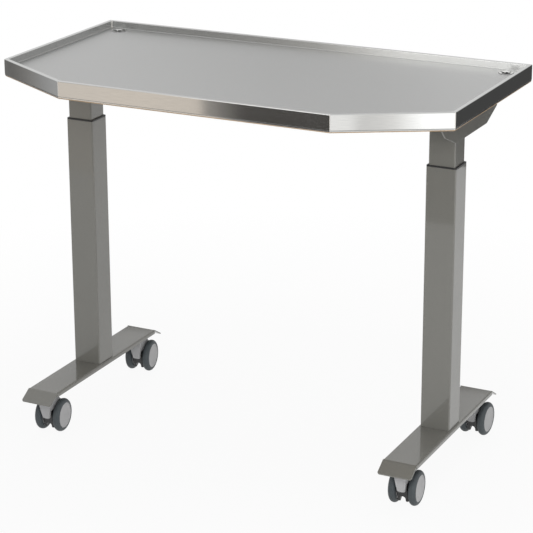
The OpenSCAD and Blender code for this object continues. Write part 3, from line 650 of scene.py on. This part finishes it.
def tube_piece(name, node, wall, edge, height=None):
    """A tube that fills its node's box, or only the top of it down to a height."""
    low, high = box(node)
    corners = rectangle(*(high - low)[:2], (low + high)[:2] / 2)
    bottom = low[2] if height is None else high[2] - height
    rings = layers(around(corners, TUBE_R), tube_profile(wall, bottom, high[2], edge))
    return Skin().loft(rings, loop=True).piece(name, node)


for side in SIDES:
    tube_piece(f"{side}_lower_column", f"{side}_outer_tube", 2.5 * MM, 0.7 * MM)
    tube_piece(f"{side}_upper_column", f"{side}_inner_tube", 2 * MM, 0.6 * MM)
for side in SIDES:
    collar_w, inner_w = (
        np.subtract(*box(f"{side}_{part}")[::-1])[0] for part in ("collar", "inner_tube"))
    tube_piece(f"{side}_collar_ring", f"{side}_collar",
               (collar_w - inner_w) / 2 - GLIDE_GAP, 0.8 * MM, COLLAR_T)

# %% [markdown]
# ## Feet
# A foot is folded from 3 mm sheet: a flat top with a narrow flange down each side, and a
# plain lip bent down at both ends over the casters. The flanges stop at the bends, so the
# flat part is a channel section drawn along Y, and each lip is a plate of its own, drawn flat
# and then wrapped round the bend.

# %% Foot
FOOT_T, FOOT_BEND, FOOT_FLAT, FOOT_FLANGE, LIP_LENGTH, LIP_CORNER, LIP_EDGE = mm(
    3, 4, 463, 10, 40.2, 6, 0.9)
LIP_ANGLE = math.radians(31)
low, high = box("left_foot")
foot_top, foot_half = float(high[2]), float(high[0] - low[0]) / 2
inside_bend = FOOT_BEND - FOOT_T


def mirrored(points):
    """The same run of points on the other side of the middle, walked the other way."""
    return points[::-1] * [-1, 1]


def channel_section():
    """The foot's section, anticlockwise along minus Y: outside over both bends, inside back."""
    w, t, edge, top, z0 = foot_half, FOOT_T, 0.8 * MM, foot_top, foot_top - FOOT_FLANGE
    outside = path(bend(w, z0, edge, 270, 360, 2), bend(w, top, FOOT_BEND, 0, 90, 5))
    inside = path(bend(w - t, top - t, inside_bend, 90, 0, 2), (w - t, z0 + edge),
                  (w - t + edge, z0))
    return path(outside, mirrored(outside), mirrored(inside), inside)


def fall_back(distance, radius):
    """How far a quarter circle has drawn in, this far along its last radius."""
    return radius * (1 - np.sqrt(1 - np.clip(distance / radius, 0, 1)**2))


# %% Lip
# Cross rings of a lip along its length s from the bend. The half width follows a quarter circle
# over the last corner radius, and the thickness over the last edge radius. A ring's height above
# the sheet's underside and s are then wrapped: over the bend they turn about its centre, past
# it they run straight down the slope.
STATIONS = 13
tip_part = LIP_CORNER * (1 - np.sin(np.linspace(0, np.pi / 2, STATIONS + 1)[1:]))
s = np.append(np.linspace(0, LIP_LENGTH - LIP_CORNER, STATIONS), LIP_LENGTH - tip_part)[:, None]
half = foot_half - fall_back(s - (LIP_LENGTH - LIP_CORNER), LIP_CORNER)
thick = FOOT_T - 2 * fall_back(s - (LIP_LENGTH - LIP_EDGE), LIP_EDGE)
corner = path(*(arc((0, 0), 1, start, start + 90, 3) for start in (270, 0, 90, 180)))
sign_x, sign_h = np.repeat([[1, 1, -1, -1], [-1, 1, 1, -1]], 4, axis=1)
edge = np.minimum(LIP_EDGE, thick / 2)
x = sign_x * (half - edge) + corner[:, 0] * edge
h = sign_h * (thick / 2 - edge) + corner[:, 1] * edge + FOOT_T / 2
turned = np.clip(s / (FOOT_BEND * LIP_ANGLE), 0, 1) * LIP_ANGLE
slope = np.maximum(s - FOOT_BEND * LIP_ANGLE, 0)
out = np.sin(turned) * (inside_bend + h) + slope * np.cos(turned)
up = (np.cos(turned) - 1) * inside_bend + np.cos(turned) * h - slope * np.sin(turned)
lip = np.stack([x, out, up + foot_top - FOOT_T], axis=2)

# %% Both feet
half = FOOT_FLAT / 2
flat = layers(lambda inset: channel_section(), [(0, half), (0, -half)])[..., [0, 2, 1]]
for side, x in column_x.items():
    skin = Skin().loft(flat + [x, column_y, 0])
    for end in (-1, 1):
        skin.loft(lip * [-end, end, 1] + [x, column_y + end * half, 0])
    skin.piece(f"{side}_folded_foot", f"{side}_foot")

# %% [markdown]
# ## Top brackets
# Each bracket is a channel of 3 mm sheet under the board. Its outer cheek hangs down beside the
# column, long towards the back and cut off at a slope at both ends, and its inner one is a
# shallow leg that the rails meet. A cheek is one plate with rolled edges, stood on its edge.

# %% Bracket
BRACKET_T, INNER_DROP, TOE, HEEL, SLOPE_RUN, SLOPE_RISE = mm(
    3, 30, 34, 153, 63, 27)
low, high = box("left_top_bracket")
top, gap = float(high[2]), float(high[0] - low[0]) / 2 - BRACKET_T
drop = top - float(low[2])
front, back, shoulder = -TOE - SLOPE_RUN, HEEL + SLOPE_RUN, SLOPE_RISE - drop
cheek = np.array([
    (front + shoulder, 0), (front, shoulder), (-TOE, -drop), (HEEL, -drop), (back, shoulder),
    (back, 0)]) + [column_y, top]
length = back - front - shoulder - 3 * BRACKET_T
middle = column_y + (front + shoulder + back + BRACKET_T) / 2
leg = rectangle(length, INNER_DROP, (middle, top - INNER_DROP / 2))
for side, x in column_x.items():
    skin, places = Skin(), (x - gap - BRACKET_T, x + gap)
    for plate, place in zip((cheek, leg), places if side == "left" else places[::-1]):
        skin.loft(layers(around(plate, BRACKET_T), rolled_edge(BRACKET_T, 0.8 * MM)),
                  move=standing_along_x(place))
    web_edge = rolled_edge(BRACKET_T, 0.4 * MM) + [0, top - BRACKET_T]
    skin.loft(layers(around(rectangle(2 * gap, length, (x, middle)), 1 * MM), web_edge))
    skin.piece(f"{side}_bracket", f"{side}_top_bracket")

# %% [markdown]
# ## Under the board
# Two rails tie the brackets together, a flat housing between them holds the controls, and
# each column's motor lies behind its tube. They are plain bought-in pieces: rolled or
# moulded edges, a parting line, a stepped end cap. The screws have a hexagon socket, made by
# letting a turned ring go over into a six-sided one.

# %% Rails and control box
RAIL_W, RAIL_WALL = mm(50, 2)
low, high = box("cross_rails")
skin = Skin()
for y in (low[1] + RAIL_W / 2, high[1] - RAIL_W / 2):
    section = rectangle(RAIL_W, high[2] - low[2], (y, (low[2] + high[2]) / 2))
    wall = tube_profile(RAIL_WALL, low[0], high[0], 0.5 * MM)
    skin.loft(layers(around(section, 2.5 * MM), wall), loop=True, move=standing_along_x())
skin.piece("tie_rails", "cross_rails")

low, high = box("control_box")
part_z, groove, foot_r = low[2] + 10 * MM, 0.6 * MM, 2 * MM
profile = path(
    bend(0, low[2], foot_r, 270, 180, 4), (0, part_z - groove), (groove, part_z - groove / 2),
    (groove, part_z + groove / 2), (0, part_z + groove), bend(0, high[2], groove, 180, 90, 2))
outline = around(rectangle(*(high - low)[:2], (low + high)[:2] / 2), 6 * MM)
Skin().loft(layers(outline, profile)).piece("control_housing", "control_box")

# %% Motors
EDGE, SEAM, NECK_R, DIMPLE_R, CAP, BAND = mm(1, 0.5, 17, 4, 8, 12)
for side, x in column_x.items():
    low, high = box(f"{side}_motor")
    r, length = (high[2] - low[2]) / 2, high[1] - low[1]
    cap_y, seam_y = length - CAP, length - CAP - BAND
    profile = path(
        (r, 0), (r, seam_y), (r - SEAM, seam_y + SEAM), (r - SEAM, seam_y + 2 * SEAM),
        (r, seam_y + 3 * SEAM), bend(r, cap_y, EDGE, 0, 90), (NECK_R, cap_y),
        bend(NECK_R, length, EDGE, 0, 90), (DIMPLE_R, length), (DIMPLE_R, length - EDGE))
    at = placed(x, low[1], (low[2] + high[2]) / 2, -90, "X")
    Skin().loft(revolve(profile, 64), move=at).piece(f"{side}_drive_motor", f"{side}_motor")


# %% Screws and lock nuts
def six_sided(across_flats, count=48):
    """A regular hexagon: the radius is half the flats' distance over the cosine of the angle
    to the nearest flat's middle."""
    angle = full_turn(count)
    nearest = (angle + np.pi / 6) % (np.pi / 3) - np.pi / 6
    return across_flats / 2 / np.cos(nearest)[:, None] * heading(angle)


low, high = box("bracket_screws")
HEAD_R, HEAD_H, SHANK_R, SOCKET, CHAMFER, DEPTH, CROWN, OFF_MIDDLE = mm(
    5, 3, 2.5, 4, 0.3, 1.8, 1.6, 18)
head = path((SHANK_R, low[2] - high[2]), (SHANK_R, -HEAD_H), (HEAD_R, -HEAD_H),
            bend(HEAD_R, 0, CROWN, 0, 90, 4))
socket = [(SOCKET + CHAMFER, 0), (SOCKET, -CHAMFER), (SOCKET, -DEPTH)]
rings = np.concatenate([revolve(head), layers(six_sided, socket)])
skin = Skin()
for x in column_x.values():
    for dx in (-OFF_MIDDLE, OFF_MIDDLE):
        for y in (low[1] + HEAD_R, high[1] - HEAD_R):
            skin.loft(rings, move=placed(x + dx, y, low[2], 180, "X"))
skin.piece("socket_screws", "bracket_screws")

low, high = box("drain_nuts")
FLATS, NUT_SOFT, height = 26 * MM, 0.7 * MM, high[2] - low[2]
bore, narrow = revolve([(DRAIN_BORE, 0), (DRAIN_BORE, height)]), FLATS - 2 * NUT_SOFT
outside = layers(six_sided, [
    (narrow, 0), (FLATS, NUT_SOFT), (FLATS, height - NUT_SOFT), (narrow, height)])
rings = np.concatenate([bore[:1], outside, bore[1:]])
skin = Skin()
for centre in drain_centres:
    skin.loft(rings, loop=True, move=placed(*centre, low[2]))
skin.piece("drain_lock_nuts", "drain_nuts")

# %% Switch buttons
BUTTON_EDGE, BUTTON_DISH = mm(0.9, 0.35)
for name in ("up", "down"):
    low, high = box(f"{name}_button")
    depth = high[1] - low[1]
    profile = path(
        (0, 0), bend(0, depth, BUTTON_EDGE, 180, 90, 4), (2.6 * MM, depth - BUTTON_DISH))
    middle = (-(low[0] + high[0]) / 2, (low[2] + high[2]) / 2)
    outline = around(rectangle(high[0] - low[0], high[2] - low[2], middle), 2.8 * MM)
    face_back = lambda p, y=low[1]: np.stack([-p[:, 0], y + p[:, 2], p[:, 1]], axis=1)
    Skin().loft(layers(outline, profile), move=face_back).piece(f"{name}_key", f"{name}_button")

# %% [markdown]
# ## Casters
# A caster is a black core that turns on its stem, a light grey cover over the core's front,
# and two wheels on one axle behind the stem. The joints of the frame say where each stem
# stands and how far each caster is turned, so one set of shapes, drawn about a stem at the
# origin, is carried to all four.

# %% Where the casters stand
joint_of = {joint["name"]: joint for joint in frame["joints"]}
CASTERS = ("front_left", "front_right", "rear_left", "rear_right")
WHEEL_R, HUB_R, WHEEL_W, HUB_W, WHEEL_SPACING, TRAIL, CORE_W = mm(
    40, 30.5, 18, 16.6, 46.5, 24.8, 24)


def caster_place(name):
    """Carries the drawn caster to its stem: a turn about Z, then a move to the swivel's axis."""
    axle = joint_of[f"{name}_right_wheel_roll"]["axis"]
    stem = joint_of[f"{name}_swivel"]["pos_m"]
    turn = Matrix.Rotation(math.atan2(axle[1], axle[0]), 4, "Z")
    return Matrix.Translation((stem[0], stem[1], 0)) @ turn


def wheel_place(name, sign):
    """Carries a turned shape to a wheel: its axis points outwards, away from the other wheel."""
    return (caster_place(name) @ Matrix.Translation((sign * WHEEL_SPACING / 2, TRAIL, WHEEL_R))
            @ Matrix.Rotation(sign * math.pi / 2, 4, "Y"))


# %% Hubs and tyres
# The tyre is an elliptical crown over a straight seat. The hub runs from its inner boss to the
# middle of its outer face, with a raised ring.
seat_r, seat = HUB_R - 0.4 * MM, WHEEL_W / 2 - 1 * MM
tyre = path(arc((0, 0), 1, -90, 90, 16) * [WHEEL_R - HUB_R, WHEEL_W / 2] + [HUB_R, 0],
            (seat_r, seat), (seat_r, -seat))
half, ring_r, ring_h, boss_r, bore_r = HUB_W / 2, HUB_R - 3 * MM, 0.6 * MM, 9 * MM, 4.05 * MM
boss_end, soft, field = -(WHEEL_SPACING / 2 - CORE_W / 2 - 0.3 * MM), 0.35 * MM, half - ring_h
hub = path(
    (bore_r, boss_end), (boss_r - soft, boss_end), (boss_r, boss_end + soft), (boss_r, -field),
    (ring_r, -field), (ring_r + ring_h, -half), (HUB_R - soft, -half), (HUB_R, soft - half),
    (HUB_R, half - soft), bend(HUB_R, half, soft, 20, 90), bend(ring_r, half, soft, 90, 150),
    (ring_r - ring_h, field), (ring_r - 2.2 * MM, field), (0.5 * MM, field))
for name in CASTERS:
    for side, sign in (("left", -1), ("right", 1)):
        at = mover(wheel_place(name, sign))
        Skin().loft(revolve(hub, 64), move=at).piece(
            f"{name}_{side}_wheel_disc", f"{name}_caster_{side}_hub")
        Skin().loft(revolve(tyre, 64), loop=True, move=at).piece(
            f"{name}_{side}_tread", f"{name}_caster_{side}_tyre")

# %% [markdown]
# ## Caster core
# The black core is moulded in one: a round tower that turns on the stem, and two cheeks that
# run down from it to the axle and to a toe near the floor, with an arched web across the
# front between them. A cheek's outline is a belt drawn tight round three circles, so drawing
# it in by the same amount everywhere only makes the circles smaller.

# %% Caster core
TOWER_Z, TOWER_R, TOWER_TOP, TOE_Z, TOE_R, TOE_BACK, BOSS_R, CHEEK_T, ARCH_Z, WEB_BACK = mm(
    56.7, 11, 103.7, 12, 5, 6, 10, 5.5, 26, 8.5)


def belt(centres, radii, inset=0.0, steps=8):
    """Points of a belt round circles listed anticlockwise, all their radii less the inset.

    Between two circles the belt touches both at the same angle: the direction from one centre
    to the next, less the arc cosine of the radii's difference over the distance.
    """
    c, r = np.asarray(centres, float), np.asarray(radii, float)
    ahead = np.roll(c, -1, axis=0) - c
    apart = np.arccos((r - np.roll(r, -1)) / np.linalg.norm(ahead, axis=1))
    leave = np.arctan2(ahead[:, 1], ahead[:, 0]) - apart
    arrive = np.roll(leave, 1)
    turn = (leave - arrive) % (2 * np.pi)
    angle = arrive[:, None] + turn[:, None] * np.linspace(0, 1, steps + 1)
    return (c[:, None] + (r[:, None, None] - inset) * heading(angle)).reshape(-1, 2)


# %% Tower, cheeks and the arched web
root_z, gap = TOWER_Z + CORE_W / 2, CORE_W / 2 - CHEEK_T
belt_centres = [(0.0, root_z), (TOE_BACK, TOE_Z + TOE_R), (TRAIL, WHEEL_R)]
cheek = layers(lambda inset: belt(belt_centres, [CORE_W / 2, TOE_R, BOSS_R], inset),
               rolled_edge(CHEEK_T, 1.2 * MM))
side_x, foot_z = gap + 1 * MM, ARCH_Z - gap
leg = path((-side_x, root_z), (-side_x, foot_z))
arch = path(leg, arc((0, foot_z), gap, 180, 0, 16), mirrored(leg))
lean = (TOE_BACK - TOE_R + CORE_W / 2) / (TOE_Z + TOE_R - root_z)
front_y = -CORE_W / 2 + 0.5 * MM + lean * (arch[:, 1] - root_z)
web = np.stack([np.column_stack([arch[:, 0], y, arch[:, 1]])
                for y in (np.full(len(arch), WEB_BACK), front_y)])
tower = path((TOWER_R, root_z), bend(TOWER_R, TOWER_TOP, 0.8 * MM, 0, 90), (6 * MM, TOWER_TOP))
for name in CASTERS:
    place, skin = mover(caster_place(name)), Skin()
    for x in (-CORE_W / 2, CORE_W / 2 - CHEEK_T):
        skin.loft(cheek, move=lambda q: place(standing_along_x(x)(q)))
    skin.loft(web, move=place).loft(revolve(tower), move=place).piece(
        f"{name}_black_core", f"{name}_caster_core")

# %% [markdown]
# ## Caster cover
# The cover is a thin shell. From the front it is a tapering panel with a raised, rounded
# border round a sunk field, and from the side its face curves back towards the floor to
# follow the wheels. It is worked out level by level: each level is one ring, out along the
# left side, across the face and back along the right, and the levels are joined upwards.

# %% Cover
COVER_TOP, COVER_BOTTOM, TOP_HALF, BOTTOM_HALF = mm(100, 41, 18, 9)
COVER_REACH, COVER_FALL, COVER_SHOULDER, COVER_BORDER, COVER_SINK, COVER_WALL = mm(
    21, 9, 6, 3, 0.6, 2.2)
FIN_LOW, FIN_HIGH, FIN_BACK, TOP_BACK = mm(61.8, 76.7, 34.6, 14)
END_ROUND, SIDE_ROUND, FIELD_RAMP = mm(2.5, 1.6, 0.8)
LOW_LEVELS, HIGH_LEVELS, ACROSS = 18, 22, 29


def smooth_step(t):
    """Runs from 0 to 1 with level ends: three t squared less two t cubed."""
    t = np.clip(t, 0, 1)
    return t * t * (3 - 2 * t)


# Half width grows evenly with height. The face lies at minus the reach, plus the fall times
# the square of the depth below the shoulder, and rounds over a quarter circle above it.
# The field is sunk where both its distance from the side and from the ends pass the border.
# The back stops short below the wheels' tops and follows a circle between the wheels above.
shoulder_z, fin_r = COVER_TOP - COVER_SHOULDER, WHEEL_R - 2 * MM
low = np.linspace(COVER_BOTTOM, FIN_LOW, LOW_LEVELS)
high = np.append(np.linspace(FIN_LOW, shoulder_z, HIGH_LEVELS),
                 arc((0, shoulder_z), COVER_SHOULDER, 0, 90, 6)[1:, 1])
z = np.append(low, high)[:, None]
follow = TRAIL + np.sqrt(np.maximum(fin_r**2 - (high - WHEEL_R)**2, 0))
straight = np.interp(high, [FIN_HIGH, COVER_TOP], [FIN_BACK, TOP_BACK])
back_y = np.append(np.zeros_like(low), np.where(high < FIN_HIGH, follow, straight))[:, None]
half = (np.interp(z, [COVER_BOTTOM, COVER_TOP], [BOTTOM_HALF, TOP_HALF])
        - fall_back(END_ROUND - (z - COVER_BOTTOM), END_ROUND))
fall = COVER_FALL * (np.maximum(shoulder_z - z, 0) / (shoulder_z - COVER_BOTTOM))**2
face_y = fall + fall_back(z - shoulder_z, COVER_SHOULDER) - COVER_REACH
spread = np.linspace(-1, 1, ACROSS)
from_side = half * (1 - np.abs(spread))
from_end = np.minimum(z - COVER_BOTTOM, shoulder_z + 2 * MM - z)
sunk = (smooth_step((from_side - COVER_BORDER) / FIELD_RAMP)
        * smooth_step((from_end - COVER_BORDER) / FIELD_RAMP))
y = face_y + COVER_SINK * sunk + fall_back(SIDE_ROUND - from_side, SIDE_ROUND)
inner = np.minimum(half - COVER_WALL, CORE_W / 2)
inner_y = np.maximum(face_y + COVER_WALL + COVER_SINK, -CORE_W / 2)
back = np.maximum(back_y, inner_y + 1 * MM)
ring_x = np.concatenate([-half, half * spread, half, inner, inner, -inner, -inner], axis=1)
ring_y = np.concatenate([back, y, back, back, inner_y, inner_y, back], axis=1)
cover_rings = np.stack([ring_x, ring_y, z + 0 * ring_x], axis=2)
for name in CASTERS:
    Skin().loft(cover_rings, move=mover(caster_place(name))).piece(
        f"{name}_cover", f"{name}_caster_cover")

# %% [markdown]
# ## Floor, light and camera
# The floor and the backdrop are plain white, and the light is soft: a wide lamp overhead, one
# in front, a small one to the right and one behind. Steel has no shade of its own but shows
# what stands round it, so a photographer lights it with cards. These are upright sheets that
# only mirrors see, each graded from side to side: a warm one in front that ends where the
# skirt turns dark, a bright softbox above it for the back rim, and grey ones left, right and
# behind.

# %% World and floor
scene = bpy.context.scene
scene.view_settings.view_transform = "Standard"


def white_to_view(tree, shader, white, share=None):
    """Mixes in plain white for camera, glossy and transmission rays, and else keeps the shader.

    share is a socket that says how much of the white is mixed in, where it isn't all of it.
    """
    rays = add_node(tree, "LightPath")
    seen = rays["Is Camera Ray"]
    for ray in ("Is Glossy Ray", "Is Transmission Ray"):
        seen = add_node(tree, "Math", {0: seen, 1: rays[ray]}, operation="MAXIMUM")[0]
    if share is not None:
        seen = add_node(tree, "Math", {0: seen, 1: share}, operation="MULTIPLY")[0]
    return add_node(tree, "MixShader", {"Fac": seen, 1: shader, 2: white})[0]


world = bpy.data.worlds.new("White studio")
scene.world = world
world.use_nodes = True
soft = world.node_tree.nodes["Background"]
soft.inputs["Color"].default_value = (1, 1, 1, 1)
soft.inputs["Strength"].default_value = 0.5
bright = add_node(world.node_tree, "Background", {"Color": (1, 1, 1, 1)})[0]
out = white_to_view(world.node_tree, soft.outputs[0], bright)
world.node_tree.links.new(out, world.node_tree.nodes["World Output"].inputs["Surface"])


# %% Studio floor
def staged(name, points, faces, material):
    """A mesh of the studio, which isn't a piece of the table."""
    mesh = bpy.data.meshes.new(name)
    mesh.from_pydata(points, [], faces)
    mesh.materials.append(material)
    obj = new_object(name, mesh)
    return obj


# A flat disc that looks white and keeps a faint shadow of the table near its middle.
FLOOR_R, DISC_TOP, DISC_BOTTOM = 6.0, -0.6 * MM, -12 * MM
skin = Skin().loft(revolve([(FLOOR_R, DISC_BOTTOM), (FLOOR_R, DISC_TOP)], 96))
material, tree = new_material("Studio floor")
shader = tree.nodes["Principled BSDF"]
shader.inputs["Base Color"].default_value = (0.55, 0.55, 0.55, 1)
shader.inputs["Roughness"].default_value = 0.9
glow = add_node(tree, "Emission", {"Strength": 1.0})[0]
place = add_node(tree, "TexCoord")["Object"]
far = add_node(tree, "VectorMath", {0: place}, operation="LENGTH")["Value"]
share = add_node(tree, "MapRange", {
    "Value": far, "From Min": 0.7, "From Max": 1.8, "To Min": 0.93, "To Max": 1.0})
out = white_to_view(tree, shader.outputs[0], glow, share["Result"])
tree.links.new(out, tree.nodes["Material Output"].inputs["Surface"])
staged("studio_floor", np.concatenate(skin.points).tolist(), skin.faces, material)


# %% Lamps
def area_lamp(name, place, target, size, power):
    """A soft lamp that steel doesn't mirror: a lamp's picture would burn a white spot into it."""
    data = bpy.data.lights.new(name, "AREA")
    data.shape = "RECTANGLE"
    data.size, data.size_y = size
    data.energy = power
    lamp = new_object(name, data)
    lamp.location = place
    lamp.rotation_euler = (Vector(target) - Vector(place)).to_track_quat("-Z", "Y").to_euler()
    lamp.visible_camera = lamp.visible_glossy = False


area_lamp("overhead", (0.2, 0.3, 3.2), (0, 0, 0.5), (3.0, 2.4), 28)
area_lamp("from the front", (1.0, -2.6, 1.6), (0.2, 0, 0.4), (1.4, 1.2), 43)
area_lamp("from the right", (2.6, -1.0, 0.9), (0.4, 0, 0.6), (1.0, 1.2), 11)
area_lamp("from behind", (-1.5, 3.6, 1.8), (0, 0, 0.4), (1.6, 1.2), 20)
print("lamps:", len(bpy.data.lights))


# %% Cards
def card(name, start, end, low, high, stops, peak=1.0):
    """An upright card that mirrors show and the camera doesn't, from one floor point to another.

    stops gives the shade at places from 0 at the start to 1 at the end, as (place, grey) or
    (place, grey, warmth). Blue falls off by the warmth and green by half of it. peak scales
    them all.
    """
    material, tree = new_material(name)
    place = add_node(tree, "TexCoord")["UV"]
    across = add_node(tree, "SeparateXYZ", {0: place})["X"]
    shades = [(at, (grey, grey * (1 - sum(warm) / 2), grey * (1 - sum(warm))))
              for at, grey, *warm in stops]
    colour = ramp(tree, across, shades)
    glow = add_node(tree, "Emission", {"Color": colour, "Strength": peak})[0]
    tree.links.new(glow, tree.nodes["Material Output"].inputs["Surface"])
    corners = [(*start, low), (*end, low), (*end, high), (*start, high)]
    obj = staged(name, corners, [(0, 1, 2, 3)], material)
    obj.data.uv_layers.new(name="Across").data.foreach_set("uv", [0, 0, 1, 0, 1, 1, 0, 1])
    obj.visible_camera = obj.visible_diffuse = obj.visible_shadow = False


card("front card", (-1.9, -1.4), (0.9, -1.4), 0.12, 0.85, [
    (0.0, 0.86, 0.12), (0.40, 0.96, 0.2), (0.474, 0.9, 0.2), (0.48, 0.43, 0.12),
    (0.52, 0.1, 0.12), (1.0, 0.08, 0.1)])
card("front softbox", (-2.6, -1.4), (0.9, -1.4), 0.85, 1.8, [
    (0.0, 0.05, 0.1), (0.354, 0.065, 0.1), (0.414, 0.12, 0.12), (0.477, 0.165, 0.12),
    (0.53, 0.29, 0.1), (0.575, 0.66, 0.06), (0.6, 1.0, 0.03), (0.76, 1.0), (0.82, 0.25),
    (1.0, 0.25)], 3.0)
card("left card", (-1.7, -1.0), (-1.7, 0.6), 0.25, 1.1, [
    (0.0, 0.6), (0.47, 0.52), (0.49, 0.44), (0.518, 0.32, 0.06), (0.556, 0.17, 0.06),
    (0.564, 0.25, 0.05), (1.0, 0.22, 0.05)])
card("right back card", (0.6, 0.75), (1.25, 0.75), 0.5, 1.0, [(0.0, 0.08), (1.0, 0.08)])
card("back card", (-4.0, 2.6), (2.5, 2.6), 0.9, 3.1, [
    (0.0, 0.85), (0.3, 0.87), (0.36, 0.78), (0.42, 0.7), (0.49, 0.73), (0.54, 0.88),
    (0.6, 0.86), (0.7, 0.62), (0.8, 0.54), (1.0, 0.54)])
card("back horizon", (-3.5, 2.5), (2.4, 2.5), 0.6, 1.12, [(0.0, 0.25), (1.0, 0.25)])
card("left horizon", (-3.0, -0.8), (-3.0, 2.5), 0.6, 1.12, [(0.0, 0.25), (1.0, 0.25)])
card("right front glow", (1.3, -2.6), (2.5, -1.9), 0.0, 0.7, [
    (0.0, 0.66, 0.02), (0.428, 0.66, 0.02), (0.436, 0.46, 0.03), (0.522, 0.57, 0.03),
    (0.6, 0.95), (1.0, 1.0)], 2.0)

# %% [markdown]
# ## Camera
# The camera stands where the photograph was taken from, found by fitting the tray's corners,
# the columns and the feet. It has only a small upward shift, so that the same lens also serves
# the other views.

# %% Camera
CAMERA_MM = (1969.66, -3878.36, 1939.26)
CAMERA_YAW, CAMERA_PITCH, CAMERA_ROLL = 0.46377, -0.31277, -0.00328
FOCAL_PX, PICTURE_PX, SENSOR, SHIFT_Y = 1996.12, 533.0, 36.0, -0.08
camera_data = bpy.data.cameras.new("photo camera")
camera_data.sensor_width = SENSOR
camera_data.lens = FOCAL_PX / PICTURE_PX * SENSOR
camera_data.shift_y = SHIFT_Y
camera = new_object("photo camera", camera_data)
# An unturned camera looks down, so the pitch starts a quarter turn up.
camera.matrix_world = (
    Matrix.Translation(Vector(CAMERA_MM) * MM) @ Matrix.Rotation(CAMERA_YAW, 4, "Z")
    @ Matrix.Rotation(math.pi / 2 + CAMERA_PITCH, 4, "X") @ Matrix.Rotation(CAMERA_ROLL, 4, "Z"))
scene.camera = camera
